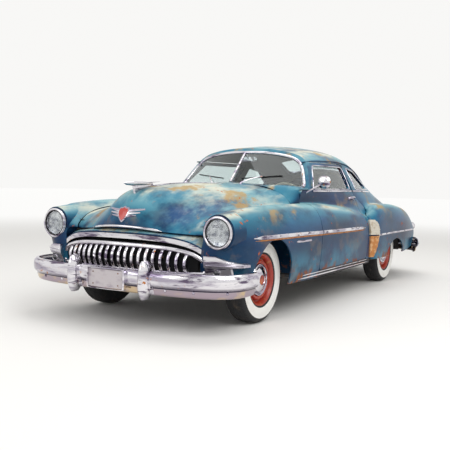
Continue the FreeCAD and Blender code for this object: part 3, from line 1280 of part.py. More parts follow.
def bent_pipe(route, radius, bend):
    """A round pipe along straight runs joined by arcs."""
    edges = []
    last = route[0]
    for before, corner, after in zip(route, route[1:], route[2:]):
        inward = (before - corner).normalize()
        outward = (after - corner).normalize()
        half_turn = (math.pi - inward.getAngle(outward)) / 2
        reach = bend * math.tan(half_turn)
        start = corner + inward * reach
        end = corner + outward * reach
        bisector = (inward + outward).normalize()
        middle = corner + bisector * (bend / math.cos(half_turn) - bend)
        edges.append(Part.makeLine(last, start))
        edges.append(Part.Arc(start, middle, end).toShape())
        last = end
    edges.append(Part.makeLine(last, route[-1]))
    profile = Part.Wire(Part.makeCircle(radius, route[0], (route[1] - route[0]).normalize()))
    return Part.Wire(edges).makePipeShell([profile], True, False)


exhaust_route = [Vector(x, car.exhaust_y, z) for x, z in EXHAUST_ROUTE]
silencer = turned_along((
    (0, 0), (0, car.silencer_radius * 0.75), (car.silencer_radius * 0.3, car.silencer_radius),
    (car.silencer_length - car.silencer_radius * 0.3, car.silencer_radius),
    (car.silencer_length, car.silencer_radius * 0.75), (car.silencer_length, 0)),
    Vector(car.silencer_front_x, car.exhaust_y, silencer_z), Vector(-1, 0, 0))
keep("exhaust", bent_pipe(exhaust_route, car.pipe_radius, car.pipe_radius * 5).fuse(silencer))

# Front suspension: a lower and an upper arm each side with the coil spring between them

arm_root = rail_outer_y + car.seat_gap
cross_middle = (car.axle_cross_front_x + car.axle_cross_rear_x) / 2


def arm(foot, root_middle, root_half):
    """A flat wishbone: wide at its root on the frame, narrow round the kingpin's eye."""
    end_x, half = car.front_axle_x, car.arm_end_half
    waist_y = car.coil_y + car.coil_radius
    outline = [Vector(root_middle - root_half, arm_root, foot),
               Vector(root_middle + root_half, arm_root, foot),
               Vector(end_x + half * 2, waist_y, foot), Vector(end_x + half, car.kingpin_y, foot),
               Vector(end_x - half, car.kingpin_y, foot), Vector(end_x - half * 2, waist_y, foot)]
    plate = Part.Face(Part.makePolygon(outline + outline[:1])).extrude(Vector(0, 0, car.arm_sheet))
    eye = Part.makeCylinder(half, car.arm_sheet, Vector(end_x, car.kingpin_y, foot))
    return plate.fuse(eye)


lower_arm = arm(car.lower_arm_z, cross_middle, (car.axle_cross_front_x - car.axle_cross_rear_x) / 2)
upper_arm = arm(car.upper_arm_z, car.front_axle_x, car.tower_length / 2)
coil = Part.makeCylinder(car.coil_radius, car.upper_arm_z - car.lower_arm_z,
                         Vector(car.front_axle_x, car.coil_y, car.lower_arm_z + car.arm_sheet / 2))
suspension = lower_arm.multiFuse([upper_arm, coil])
keep("front_suspension", Part.makeCompound([suspension, mirrored(suspension)]))

# Steering knuckles with spindle, brake plate and steering arm; the tie rod joins them

post_foot = car.lower_arm_z + car.arm_sheet + car.seat_gap
post = Part.makeCylinder(car.kingpin_radius, car.upper_arm_z - car.seat_gap - post_foot,
                         Vector(car.front_axle_x, car.kingpin_y, post_foot))
wheel_centre = Vector(car.front_axle_x, car.kingpin_y, car.tyre_radius)
spindle = Part.makeCylinder(car.shaft_radius, car.front_wheel_y + car.disc_face - car.kingpin_y,
                            wheel_centre, axle_line)
plate = Part.makeCylinder(car.plate_radius, car.plate_sheet,
                          Vector(car.front_axle_x, car.plate_y, car.tyre_radius), axle_line)
arm_end = Vector(car.front_axle_x - car.steering_arm_reach, car.steering_arm_y, car.steering_arm_z)
arm_start = Vector(car.front_axle_x, car.kingpin_y, car.steering_arm_z)
across_arm = (arm_end - arm_start).cross(Vector(0, 0, 1)).normalize() * car.kingpin_radius * 0.7
arm_points = [arm_start + across_arm, arm_end + across_arm, arm_end - across_arm, arm_start - across_arm]
steering_arm = Part.Face(Part.makePolygon(arm_points + arm_points[:1]))
steering_arm = steering_arm.extrude(Vector(0, 0, car.steering_arm_sheet))
arm_eye = Part.makeCylinder(car.kingpin_radius * 0.7, car.steering_arm_sheet, arm_end)
knuckle_left = keep("knuckle_left", post.multiFuse([spindle, plate, steering_arm, arm_eye]))
keep_mirror("knuckle_right", knuckle_left)
tie_rod = doc.addObject("Part::Cylinder", "tie_rod")
tie_rod.Label = "tie_rod"
tie_rod.setExpression("Radius", bound("tie_rod_radius"))
tie_rod.setExpression("Height", bound("( steering_arm_y + tie_rod_radius ) * 2"))
tie_rod.Placement = Placement(Vector(0, 0, 0), Rotation(Vector(1, 0, 0), 90))
tie_rod.setExpression("Placement.Base.x", bound("front_axle_x - steering_arm_reach"))
tie_rod.setExpression("Placement.Base.y", bound("steering_arm_y + tie_rod_radius"))
rod_height = "steering_arm_z + steering_arm_sheet + seat_gap + tie_rod_radius"
tie_rod.setExpression("Placement.Base.z", bound(rod_height))
NODES.append(tie_rod)

# Nose: pan on the side members, radiator, and the sheet between bonnet and grille

GRILLE_PLAN_SHARES = ((0.0, 1.0), (0.30, 0.9975), (0.59, 0.987), (0.83, 0.970), (0.96, 0.9565), (1.0, 0.949))
GRILLE_TOP_SHARES = (1.0, 0.998, 0.984, 0.945, 0.885, 0.83)
GRILLE_FOOT_SHARES = (1.0, 0.998, 0.999, 1.0, 1.008, 1.016)
CREST_PLAN_SHARES = ((0.0, 1.0), (0.30, 0.9975), (0.59, 0.988), (0.83, 0.972), (0.96, 0.960), (1.03, 0.955))
CREST_SHARES = (1.0, 0.998, 0.983, 0.943, 0.889, 0.843)
HEADER_SHARES = (
    ((0.9057, 0.0, 0.7916), (0.8974, 0.2, 0.7863), (0.8830, 0.325, 0.7768), (0.8642, 0.448, 0.7663),
     (0.8453, 0.56, 0.7558), (0.8396, 0.668, 0.7300)),
    ((0.9223, 0.0, 0.7720), (0.9200, 0.2, 0.7700), (0.9140, 0.325, 0.7640), (0.9050, 0.448, 0.7500),
     (0.8925, 0.56, 0.7250), (0.8800, 0.672, 0.6700)),
)


def grille_line(height, shares, plan=GRILLE_PLAN_SHARES):
    """One bar of the grille from the middle line to its left end."""
    return [Vector(ahead * car.grille_x, across * car.grille_half, share * height)
            for (across, ahead), share in zip(plan, shares)]


upper_line = grille_line(car.grille_top, GRILLE_TOP_SHARES)
lower_line = grille_line(car.grille_foot, GRILLE_FOOT_SHARES)
pan_foot = car.front_rail_top + car.seat_gap
pan_top = car.grille_foot - car.grille_bar - car.seat_gap
pan_points = [Vector(point.x - car.grille_bar / 2, point.y, pan_foot) for point in lower_line[:4]]
pan_left = pan_points + [Vector(car.nose_pan_rear_x, pan_points[-1].y, pan_foot)]
pan_outline = pan_left + other_side(pan_left[:0:-1])
pan_face = Part.Face(Part.makePolygon(pan_outline + pan_outline[:1]))
nose_pan = pan_face.extrude(Vector(0, 0, pan_top - pan_foot))
radiator = block(Vector(car.nose_pan_rear_x, -car.radiator_half, pan_foot),
                 Vector(car.nose_pan_rear_x + car.radiator_depth, car.radiator_half, car.radiator_top))
nose_pan = nose_pan.fuse(radiator)
wing_outer = sheet_metal(front_wing, car.skin, start=-car.seat_gap)
both_wings_outer = Part.makeCompound([wing_outer, mirrored(wing_outer)])


def both_ways(points):
    """A line from the middle to the left, carried on to the right."""
    return other_side(points[:0:-1]) + points


def grille_bar(radius):
    """The left half of the round bar that runs along both lines and closes at the ends."""
    points = upper_line + lower_line[::-1]
    half_loop = Part.BSplineCurve()
    half_loop.interpolate(Points=points, InitialTangent=Vector(0, 1, 0), FinalTangent=Vector(0, -1, 0))
    ring = Part.makeCircle(radius, points[0], Vector(0, 1, 0))
    return Part.Wire(half_loop.toShape()).makePipeShell([Part.Wire(ring)], True, False)


header_lines = [both_ways([at(*shares) for shares in row]) for row in HEADER_SHARES]
header_stations = spacing(header_lines)
header_steps = spacing(list(zip(*header_lines)))


def header_skin(drop):
    """The header's upper face, let down by the given amount."""
    lowered = [[point - Vector(0, 0, drop) for point in line] for line in header_lines]
    return smooth(lowered, header_steps, header_stations)


header = closed_between(header_skin(0.0), header_skin(car.header_sheet))
header_room = closed_between(header_skin(-car.seat_gap), header_skin(car.header_sheet + car.seat_gap))
bar_room = grille_bar(car.grille_bar + car.seat_gap)
header = header.cut(Part.makeCompound([both_wings_outer, bar_room, mirrored(bar_room)]))
header = nearest_solid(header, at(*HEADER_SHARES[0][0]))
keep("nose_panel", Part.makeCompound([nose_pan, header]))

# Crest: a flat arched band under the header, over the grille

crest_line = grille_line(car.crest_z, CREST_SHARES, CREST_PLAN_SHARES)


def crest_skin(setback):
    """The band's face, moved back by the given amount: an upper and a lower edge."""
    edges = []
    for rise in (car.crest_half, -car.crest_half):
        edges.append(both_ways([point + Vector(-setback, 0, rise) for point in crest_line]))
    return smooth(edges, crest_steps, crest_stations)


crest_foot = [point - Vector(0, 0, car.crest_half) for point in crest_line]
crest_lines = [both_ways(crest_line), both_ways(crest_foot)]
crest_stations = spacing(crest_lines)
crest_steps = [0.0, 1.0]
crest = closed_between(crest_skin(0.0), crest_skin(car.crest_depth))
crest = crest.cut(Part.makeCompound([both_wings_outer, header_room]))
crest = nearest_solid(crest, crest_line[0] - Vector(0, 0, car.crest_half))

# Grille: two bars joined in a closed loop, with bowed teeth between them

def bar_point(line, across):
    ahead = through([Vector(p.y, 0, p.x) for p in line], across)
    height = through([Vector(p.y, 0, p.z) for p in line], across)
    return Vector(ahead.z, across, height.z)


def tooth(across):
    """A bowed tooth: a crescent in side view, its front edges rounded."""
    top = bar_point(upper_line, abs(across))
    foot = bar_point(lower_line, abs(across))
    side_y = across - car.tooth_width / 2
    middle_z = (top.z + foot.z) / 2

    def bow(setback):
        """The arc through the tooth's top, belly and foot, set back by the given amount."""
        upper = Vector(top.x - setback, side_y, top.z - car.grille_bar * 0.6)
        lower = Vector(foot.x - setback, side_y, foot.z)
        crest = Vector((top.x + foot.x) / 2 + car.tooth_bulge - setback, side_y, middle_z)
        return Part.Arc(upper, crest, lower).toShape(), upper, lower
    front, front_top, front_foot = bow(-car.grille_bar / 4)
    back, back_top, back_foot = bow(car.tooth_depth - car.grille_bar / 4)
    sides = [front, Part.makeLine(front_foot, back_foot), back, Part.makeLine(back_top, front_top)]
    wire = Part.Wire(Part.sortEdges(sides)[0])
    solid = Part.Face(wire).extrude(Vector(0, car.tooth_width, 0))
    rounded = [edge for edge in solid.Edges if edge.Curve.TypeId == "Part::GeomCircle"
               and edge.CenterOfMass.x > (top.x + foot.x) / 2 + car.tooth_bulge / 3]
    return solid.makeFillet(car.tooth_round, rounded) if rounded else solid


side_count = int(car.grille_half * 0.9 / car.tooth_pitch)
left_teeth = [tooth((index + 1) * car.tooth_pitch) for index in range(side_count)]
left_half = grille_bar(car.grille_bar).multiFuse(left_teeth)
left_half = nearest_solid(left_half.cut(wing_outer), bar_point(upper_line, car.tooth_pitch))
grille = left_half.multiFuse([mirrored(left_half), tooth(0)])
keep("grille", Part.makeCompound([grille, crest]))

# Bumpers: a deep bowed bar that wraps round the corners, with two guards

BUMPER_PLAN_SHARES = ((0.0, 1.0), (0.30, 0.9985), (0.58, 0.988), (0.78, 0.968), (0.905, 0.938),
                      (0.978, 0.898),
                      (1.0, 0.850), (0.994, 0.805))
BUMPER_SECTION_SHARES = ((0.24, 1.0), (0.10, 0.975), (0.02, 0.86), (0.0, 0.62), (0.05, 0.42), (0.15, 0.325),
                         (0.19, 0.20), (0.22, 0.06), (0.40, 0.0))


def bumper_bar(end):
    """The bar's outer face: one section carried round the plan line, lips turned inwards."""
    shares = BUMPER_PLAN_SHARES if end > 0 else BUMPER_PLAN_SHARES[:-1]
    plan = [Vector(ahead * car.bumper_x * end, across * car.bumper_half, 0) for across, ahead in shares]
    plan = both_ways(plan)
    curve = line_through(plan, spacing([plan]))
    depth = car.bumper_high - car.bumper_low
    rows = []
    for inward, rise in BUMPER_SECTION_SHARES:
        row = []
        for parameter in with_middles(curve.getKnots()):
            tangent = Vector(curve.tangent(parameter)[0])
            inside = Vector(-tangent.y, tangent.x, 0) * end
            height = Vector(0, 0, car.bumper_low + rise * depth)
            row.append(curve.value(parameter) + inside * (inward * depth) + height)
        rows.append(row)
    return sheet_metal(smooth(rows), car.bumper_sheet)


GUARD_SHARES = ((0.0, 0.30, 0.25), (0.10, 0.72, 0.62), (0.35, 1.0, 1.0), (0.65, 0.94, 0.98),
                (0.88, 0.70, 0.70), (1.0, 0.28, 0.25))


def guard(end, across):
    """An upright guard: ellipses of growing and falling size, carried upwards."""
    rings = []
    for rise, wide, proud in GUARD_SHARES:
        height = car.guard_foot + rise * (car.guard_top - car.guard_foot)
        reach = (car.half_length - car.bumper_x + car.guard_half / 2) * (0.4 + 0.6 * proud)
        middle = Vector((car.bumper_x - car.guard_half / 2) * end, across, height)
        ellipse = Part.Ellipse(Vector(0, 0, 0), reach, car.guard_half * wide)
        edge = ellipse.toShape()
        edge.translate(middle)
        rings.append(Part.Wire(edge))
    return Part.makeLoft(rings, True)


def bumper(end, frame_end):
    """Bar, brackets and guards of one end."""
    bar = bumper_bar(end)
    inner = min(frame_end + end * car.seat_gap, (car.bumper_x - car.bumper_sheet) * end)
    outer = max(frame_end + end * car.seat_gap, (car.bumper_x - car.bumper_sheet) * end)
    bracket = block(Vector(inner, car.rail_inner_y, car.bracket_foot),
                    Vector(outer, rail_outer_y, car.bracket_foot + car.bracket_depth))
    pieces = [bracket, mirrored(bracket), guard(end, car.guard_y), guard(end, -car.guard_y)]
    return bar.multiFuse(pieces)


keep("front_bumper", bumper(1, car.frame_front_x))
keep("rear_bumper", bumper(-1, car.frame_rear_x))

# Lamps: bowls with their rims, and the glass of each lamp

rim_radius = car.headlamp_radius - car.seat_gap
lens_seat = car.lens_radius + car.seat_gap
ahead = Vector(1, 0, 0)
bowl = turned_along((
    (-car.bucket_depth, 0), (-car.bucket_depth, rim_radius * 0.5), (-car.bucket_depth * 0.5, rim_radius),
    (0, rim_radius), (car.skin, rim_radius * 0.97), (car.skin * 1.4, rim_radius * 0.9),
    (car.skin, lens_seat), (-car.skin, lens_seat), (-car.skin, 0)), lamp_middle, ahead)
parking_middle = Vector(car.parking_x, car.parking_y, car.parking_z)
PARKING_SHARES = ((-0.9, 0.0), (-0.9, 0.9), (0.0, 1.0), (0.45, 0.95), (0.55, 0.86))
parking_outline = [(along * car.parking_rise, out * car.parking_radius) for along, out in PARKING_SHARES]
parking_face = parking_outline[-1]
parking = turned_along(parking_outline + [(parking_face[0], 0)], parking_middle, ahead)
hood_column = (column_at(front_wing, at(*SIDE_RAIL_SHARES["waist"][4])), 1)
hood_row = (row_at(front_wing, at(*SIDE_RAIL_SHARES["bottom"][4])),
            row_at(front_wing, at(*SIDE_RAIL_SHARES["haunch"][4])))


def on_wing(outline, proud):
    """A pad of even thickness on the wing's nose, inside an outline given across and up."""
    pad = sheet_metal(front_wing, -car.seat_gap, hood_row, hood_column, start=-proud)
    points = [Vector(car.hood_rear_x, across, up) for across, up in outline]
    room = Part.Face(Part.makePolygon(points + points[:1])).extrude(Vector(car.far, 0, 0))
    return nearest_solid(pad.common(room), parking_middle)


hood = on_wing(((car.hood_inner_y, car.hood_foot), (car.hood_inner_y, car.hood_top),
                (car.parking_y, car.hood_top),
                (car.hood_end_y, car.hood_foot + car.hood_end_rise), (car.hood_end_y, car.hood_foot)),
               car.hood_proud)
panel = on_wing(((car.hood_inner_y, car.panel_foot), (car.hood_inner_y, car.hood_foot + car.seat_gap),
                 (car.panel_end_y, car.hood_foot + car.seat_gap), (car.panel_end_y, car.panel_foot)),
                car.panel_proud)
parking = hood.multiFuse([panel, parking]).cut(wing_outer)
parking = nearest_solid(parking, parking_middle + ahead * car.parking_rise)
parking_lens = turned_along((
    (parking_face[0] + car.seat_gap, 0), (parking_face[0] + car.seat_gap, parking_face[1]),
    (car.parking_rise * 0.85, parking_face[1] * 0.72), (car.parking_rise, parking_face[1] * 0.3),
    (car.parking_rise, 0)), parking_middle, ahead)
tail_middle = Vector(car.tail_lamp_x, car.tail_lamp_y, car.tail_lamp_z)
rear_outer = sheet_metal(quarter, car.skin, (wing_top, 1), start=-car.seat_gap)
tail_axis = Vector(-1, 0, 0)
TAIL_LAMP_SHARES = ((-3.2, 0.0), (-3.2, 0.9), (0.0, 1.0), (0.5, 0.98), (0.62, 0.9))
tail_outline = [(along * car.tail_lamp_radius, out * car.tail_lamp_radius) for along, out in TAIL_LAMP_SHARES]
tail_face = tail_outline[-1]
tail_lamp = turned_along(tail_outline + [(tail_face[0], 0)], tail_middle, tail_axis).cut(rear_outer)
tail_lamp = nearest_solid(tail_lamp, tail_middle + tail_axis * car.tail_lamp_radius)
tail_lens = turned_along((
    (tail_face[0] + car.seat_gap, 0), (tail_face[0] + car.seat_gap, tail_face[1]),
    (car.tail_lamp_radius, tail_face[1] * 0.75), (car.tail_lamp_radius * 1.2, tail_face[1] * 0.35),
    (car.tail_lamp_radius * 1.25, 0)), tail_middle, tail_axis)
head_lens = turned_along((
    (-car.skin + car.seat_gap, 0), (-car.skin + car.seat_gap, car.lens_radius), (0, car.lens_radius),
    (car.lens_rise * 0.6, car.lens_radius * 0.66), (car.lens_rise * 0.92, car.lens_radius * 0.33),
    (car.lens_rise, 0)), lamp_middle, ahead)
housings = [bowl, parking, tail_lamp]
lenses = [head_lens, parking_lens, tail_lens]
keep("lamp_housings", Part.makeCompound(housings + [mirrored(lamp) for lamp in housings]))
keep("lamp_lenses", Part.makeCompound(lenses + [mirrored(lens) for lens in lenses]))

# Fixed glass: windscreen creased at the middle, rear window and quarter windows

glass_floor = sheet_metal(cowl_surface, car.skin, start=-car.glass_fit)
glass_roof = sheet_metal(cabin, car.wall + car.glass_fit, start=-car.overrun)
screen = ahead_of_screen(car.glass_thickness * 2).cut(ahead_of_screen(car.glass_thickness))
screen = screen.cut(Part.makeCompound([glass_floor, glass_roof]))
screen_spot = Vector(car.screen_x, 0, car.screen_foot) + rake * 0.4
screen = nearest_solid(screen, screen_spot)
glass_inner = car.glass_depth + car.glass_thickness
rear_pane = sheet_metal(cabin, glass_inner, start=car.glass_depth).common(rear_window_prism(car.glass_fit))
quarter_pane = sheet_metal(quarter, glass_inner, (0, valley_share), start=car.glass_depth)
quarter_pane = quarter_pane.common(window_prism(quarter_window, car.glass_fit, car.glass_corner))
keep("fixed_glass", Part.makeCompound([screen, rear_pane, quarter_pane, mirrored(quarter_pane)]))

# Bench seats

seat_foot = car.floor_top + car.seat_gap
step_top = car.boot_floor_top + car.seat_gap
step_x = car.riser_x + car.seat_gap
back_foot = car.cushion_top - car.seat_round / 2
front_bench = side_face((
    (car.front_seat_x, seat_foot), (car.front_seat_x, car.cushion_top),
    (car.front_seat_rear_x + car.back_depth, back_foot),
    (car.front_seat_rear_x - car.back_lean + car.back_depth, car.back_top),
    (car.front_seat_rear_x - car.back_lean, car.back_top),
    (car.front_seat_rear_x, seat_foot)))
rear_back = car.rear_seat_x - (car.front_seat_x - car.front_seat_rear_x) * 0.78
rear_bench = side_face((
    (car.rear_seat_x, seat_foot), (car.rear_seat_x, car.cushion_top), (rear_back + car.back_depth, back_foot),
    (rear_back - car.back_lean + car.back_depth, car.back_top), (rear_back - car.back_lean, car.back_top),
    (rear_back, step_top), (step_x, step_top), (step_x, seat_foot)))


def bench(face, half):
    """A bench of one cushion and back, its upholstered edges rounded."""
    solid = across_car(face, -half, half)
    soft = [edge for edge in solid.Edges if edge.BoundBox.ZMin > car.boot_floor_top + car.overrun]
    return solid.makeFillet(car.seat_round, soft)


rear_half = car.wheelhouse_inner_y - car.shut_gap
tunnel_cut = Part.makeCylinder(car.tunnel_radius + car.seat_gap, tunnel_reach, tunnel_start, Vector(1, 0, 0))
benches = [bench(front_bench, car.seat_half), bench(rear_bench, rear_half)]
keep("seats", Part.makeCompound([solid.cut(tunnel_cut) for solid in benches]))

# Dashboard with the steering column

dash_face = side_face((
    (car.dash_rear_x + car.overrun, car.screen_foot + car.overrun),
    (car.dash_rear_x, car.screen_foot - car.dash_half / 8),
    (car.dash_rear_x + car.skin, car.dash_foot), (car.dash_rear_x + car.overrun * 1.5, car.dash_foot),
    (car.dash_front_x, car.screen_foot - car.overrun), (car.dash_front_x, car.screen_foot + car.overrun)))
dash = across_car(dash_face, -car.dash_half, car.dash_half)
dash = nearest_solid(dash.cut(sheet_metal(cowl_surface, car.skin + car.seat_gap, start=-car.overrun * 2)),
                     Vector(car.dash_rear_x, 0, car.dash_foot))
slope = math.radians(car.column_slope)
column_line = Vector(math.cos(slope), 0, -math.sin(slope))
hub = Vector(car.steering_hub_x, car.steering_y, car.steering_hub_z)
column_reach = (car.firewall_x - car.seat_gap * 3 - car.column_radius - hub.x) / math.cos(slope)
column = Part.makeCylinder(car.column_radius, column_reach, hub, column_line)
stay_x = car.dash_rear_x + car.overrun
stay_z = hub.z - (stay_x - hub.x) * math.tan(slope)
stay = block(Vector(stay_x - car.column_radius, car.steering_y - car.column_radius, stay_z),
             Vector(stay_x + car.column_radius, car.steering_y + car.column_radius,
                    car.dash_foot + car.overrun / 2))
keep("dashboard", dash.multiFuse([column, stay]))

# Steering wheel

toward_driver = column_line * -1
wheel_hub = hub + toward_driver * car.seat_gap
boss = Part.makeCylinder(car.steering_boss, car.steering_boss * 1.3, wheel_hub, toward_driver)
ring_middle = wheel_hub + toward_driver * car.steering_boss
ring = Part.makeTorus(car.steering_wheel_radius, car.steering_rim, ring_middle, toward_driver)
spokes = [Part.makeCylinder(car.spoke_radius, car.steering_wheel_radius,
                            ring_middle, Vector(0, side_sign, 0)) for side_sign in (1, -1)]
keep("steering_wheel", ring.multiFuse([boss] + spokes))

# Bonnet ornament: a dart on a fin

dart_reach = car.ornament_tip_x - car.ornament_tail_x
DART_SHARES = ((0.0, 0.0), (0.02, 0.45), (0.35, 0.9), (0.7, 1.0), (0.9, 0.7), (1.0, 0.0))
dart = turned_along([(along * dart_reach, out * car.ornament_radius) for along, out in DART_SHARES],
                    Vector(car.ornament_tail_x, 0, car.ornament_z), ahead)
fin_face = side_face((
    (car.ornament_tail_x + car.ornament_fin, car.ornament_z),
    (car.ornament_tail_x + dart_reach * 0.7, car.ornament_z),
    (car.ornament_tail_x + dart_reach * 0.55, car.crown_height), (car.ornament_tail_x, car.crown_height)))
fin = across_car(fin_face, -car.ornament_fin, car.ornament_fin)
bonnet_outer = sheet_metal(bonnet_surface, car.overrun * 3, start=-car.seat_gap)
ornament = nearest_solid(dart.fuse(fin).cut(bonnet_outer), Vector(car.ornament_tip_x, 0, car.ornament_z))
keep("bonnet_ornament", ornament)

# Door mirror on its stalk

mirror_middle = Vector(car.mirror_x, car.mirror_y, car.mirror_z)
mirror_head = turned_along((
    (-car.mirror_depth * 0.25, 0), (-car.mirror_depth * 0.25, car.mirror_radius), (0, car.mirror_radius),
    (car.mirror_depth * 0.5, car.mirror_radius * 0.7), (car.mirror_depth * 0.75, 0)), mirror_middle, ahead)
foot_y = through(side_rows[7], car.mirror_foot_x).y
mirror_foot = Vector(car.mirror_foot_x, foot_y - car.overrun, car.mirror_foot_z - car.overrun / 2)
stalk_line = mirror_middle - mirror_foot
stalk = Part.makeCylinder(car.mirror_stalk, stalk_line.Length, mirror_foot, stalk_line)
door_outer = sheet_metal(side, car.overrun * 2, start=-car.seat_gap)
mirror = nearest_solid(mirror_head.fuse(stalk).cut(door_outer), mirror_middle)
keep("door_mirror", mirror)

# Write every sub-part

doc.recompute()
for item in doc.Objects:
    if "Invalid" in item.State or "Error" in item.State:
        raise RuntimeError(f"{item.Label} failed: {item.State}")
for piece in NODES:
    if piece.Shape.isNull() or not piece.Shape.isValid():
        raise RuntimeError(f"{piece.Label} has no sound shape")
os.makedirs("parts", exist_ok=True)
for piece in NODES:
    piece.Shape.exportStep(os.path.join("parts", f"{piece.Label}.step"))
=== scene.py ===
import math

import bmesh
import bpy
import numpy as np
from mathutils import Matrix, Vector, geometry
from mathutils.bvhtree import BVHTree


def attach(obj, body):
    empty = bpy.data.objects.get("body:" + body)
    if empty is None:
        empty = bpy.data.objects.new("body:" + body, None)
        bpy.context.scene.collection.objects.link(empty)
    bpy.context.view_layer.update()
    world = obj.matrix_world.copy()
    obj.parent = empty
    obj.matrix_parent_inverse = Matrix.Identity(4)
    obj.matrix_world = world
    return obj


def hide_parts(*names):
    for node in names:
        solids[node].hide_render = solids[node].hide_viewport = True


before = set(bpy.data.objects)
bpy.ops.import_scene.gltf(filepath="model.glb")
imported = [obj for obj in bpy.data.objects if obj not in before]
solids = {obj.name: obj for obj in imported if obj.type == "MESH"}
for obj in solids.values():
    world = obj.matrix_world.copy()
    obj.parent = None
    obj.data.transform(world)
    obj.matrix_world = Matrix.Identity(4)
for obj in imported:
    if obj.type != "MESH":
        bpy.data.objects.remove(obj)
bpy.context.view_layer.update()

# Running gear: a riveted steel frame in old black paint, cast iron axle, engine and steering parts,
# and an exhaust of bare steel that has rusted brown.  Bolted together from below.


def plain_finish(name, colour, roughness, metallic=0.0, **sockets):
    """A finish of one colour and one roughness, set on the shader's own sockets."""
    made = bpy.data.materials.new(name)
    made.use_nodes = True
    shader = made.node_tree.nodes["Principled BSDF"]
    shader.inputs["Base Color"].default_value = (*colour, 1)
    shader.inputs["Roughness"].default_value = roughness
    shader.inputs["Metallic"].default_value = metallic
    for socket, amount in sockets.items():
        shader.inputs[socket.replace("_", " ")].default_value = amount
    return made


def wired(made, kind, *given, **settings):
    """One shader node whose inputs, in order, are numbers, colours or other nodes' outputs."""
    item = made.node_tree.nodes.new(kind)
    for name, choice in settings.items():
        setattr(item, name, choice)
    for socket, amount in zip(item.inputs, given):
        if amount is None:
            continue
        if isinstance(amount, bpy.types.NodeSocket):
            made.node_tree.links.new(amount, socket)
        else:
            socket.default_value = amount
    return item


def stepped(made, value, low, high, start=0.0, end=1.0):
    """A value eased from start to end as it goes from low to high."""
    return wired(made, "ShaderNodeMapRange", value, low, high, start, end,
                 interpolation_type="SMOOTHSTEP").outputs["Result"]


def patches(made, across, low, high, drawn_out=(1, 1, 1), shift=0.0, detail=6.0):
    """Patches from 0 to 1: noise on the Object coordinates, about that many metres across."""
    place = wired(made, "ShaderNodeTexCoord").outputs["Object"]
    scale = tuple(1 / (across * out) for out in drawn_out)
    moved = wired(made, "ShaderNodeMapping", place, (shift, shift / 2, -shift), None, scale)
    noise = wired(made, "ShaderNodeTexNoise", moved.outputs[0], None, 1.0, detail, 0.6)
    return stepped(made, noise.outputs[0], low, high)


def product(made, *shares):
    """The product of several shares, kept from 0 to 1."""
    total = shares[0]
    for share in shares[1:]:
        total = wired(made, "ShaderNodeMath", total, share, operation="MULTIPLY", use_clamp=True).outputs[0]
    return total


def layered(made, socket_name, layers):
    """Lays colours or amounts over what a socket has, each as strongly as its patches."""
    socket = made.node_tree.nodes["Principled BSDF"].inputs[socket_name]
    colour = socket.type == "RGBA"
    value = tuple(socket.default_value) if colour else socket.default_value
    if socket.is_linked:
        value = socket.links[0].from_socket
    for share, over in layers:
        mix = made.node_tree.nodes.new("ShaderNodeMix")
        mix.data_type = "RGBA" if colour else "FLOAT"
        places = (0, 6, 7, 2) if colour else (0, 2, 3, 0)
        over = (*over, 1) if colour else over
        for place, amount in zip(places[:3], (share, value, over)):
            if isinstance(amount, bpy.types.NodeSocket):
                made.node_tree.links.new(amount, mix.inputs[place])
            else:
                mix.inputs[place].default_value = amount
        value = mix.outputs[places[3]]
    made.node_tree.links.new(value, socket)


def coloured(made, layers):
    """Lays colours over the base colour: each is mixed in by its share from 0 to 1."""
    layered(made, "Base Color", layers)


def roughened(made, layers):
    """Lays amounts over the roughness: each is mixed in by its share from 0 to 1."""
    layered(made, "Roughness", layers)


def pitted(made, height, depth):
    """Fine relief: the normal tilts by the slope of a height from 0 to 1 times a depth in metres."""
    bump = wired(made, "ShaderNodeBump", 1.0, depth)
    made.node_tree.links.new(height, bump.inputs["Height"])
    shader = made.node_tree.nodes["Principled BSDF"]
    made.node_tree.links.new(bump.outputs[0], shader.inputs["Normal"])


def height_above_ground(made):
    """The z of the Object coordinates, which is the height above the ground in metres."""
    place = wired(made, "ShaderNodeTexCoord").outputs["Object"]
    return wired(made, "ShaderNodeSeparateXYZ", place).outputs[2]


def facing_up(made):
    """The z of the surface's normal: 1 where it faces up, 0 on its sides and -1 underneath."""
    side = wired(made, "ShaderNodeTexCoord").outputs["Normal"]
    return wired(made, "ShaderNodeSeparateXYZ", side).outputs[2]


def dressed(names, made):
    """Gives CAD nodes one finish."""
    for name in names:
        solids[name].data.materials.clear()
        solids[name].data.materials.append(made)


def worn_finish(name, colour, roughness, stains, metallic=0.0, **sockets):
    """A plain finish under stains; each stain is what patches takes, and its colour at the end."""
    made = plain_finish(name, colour, roughness, metallic, **sockets)
    coloured(made, [(patches(made, *sizes), over) for *sizes, over in stains])
    return made


chassis_black = worn_finish("chassis_black", (0.028, 0.028, 0.032), 0.7,
                            [(0.18, 0.5, 0.75, (0.16, 0.1, 0.06))])
cast_iron = worn_finish("cast_iron", (0.09, 0.09, 0.09), 0.6, [(0.12, 0.5, 0.7, (0.15, 0.08, 0.045))], 0.6)
rusted_steel = worn_finish("rusted_steel", (0.16, 0.11, 0.08), 0.75, [(0.08, 0.42, 0.66, (0.3, 0.12, 0.04))],
                           0.4)
dressed(("frame", "front_suspension", "fuel_tank"), chassis_black)
dressed(("engine_block", "rear_axle", "knuckle_left", "knuckle_right", "tie_rod"), cast_iron)
dressed(("exhaust",), rusted_steel)

# Wheels: pressed steel rims painted red, a stepped chrome cap clipped over the hub with a plain red
# middle, and cross-ply tyres with wide white walls and a ribbed, zigzag tread.


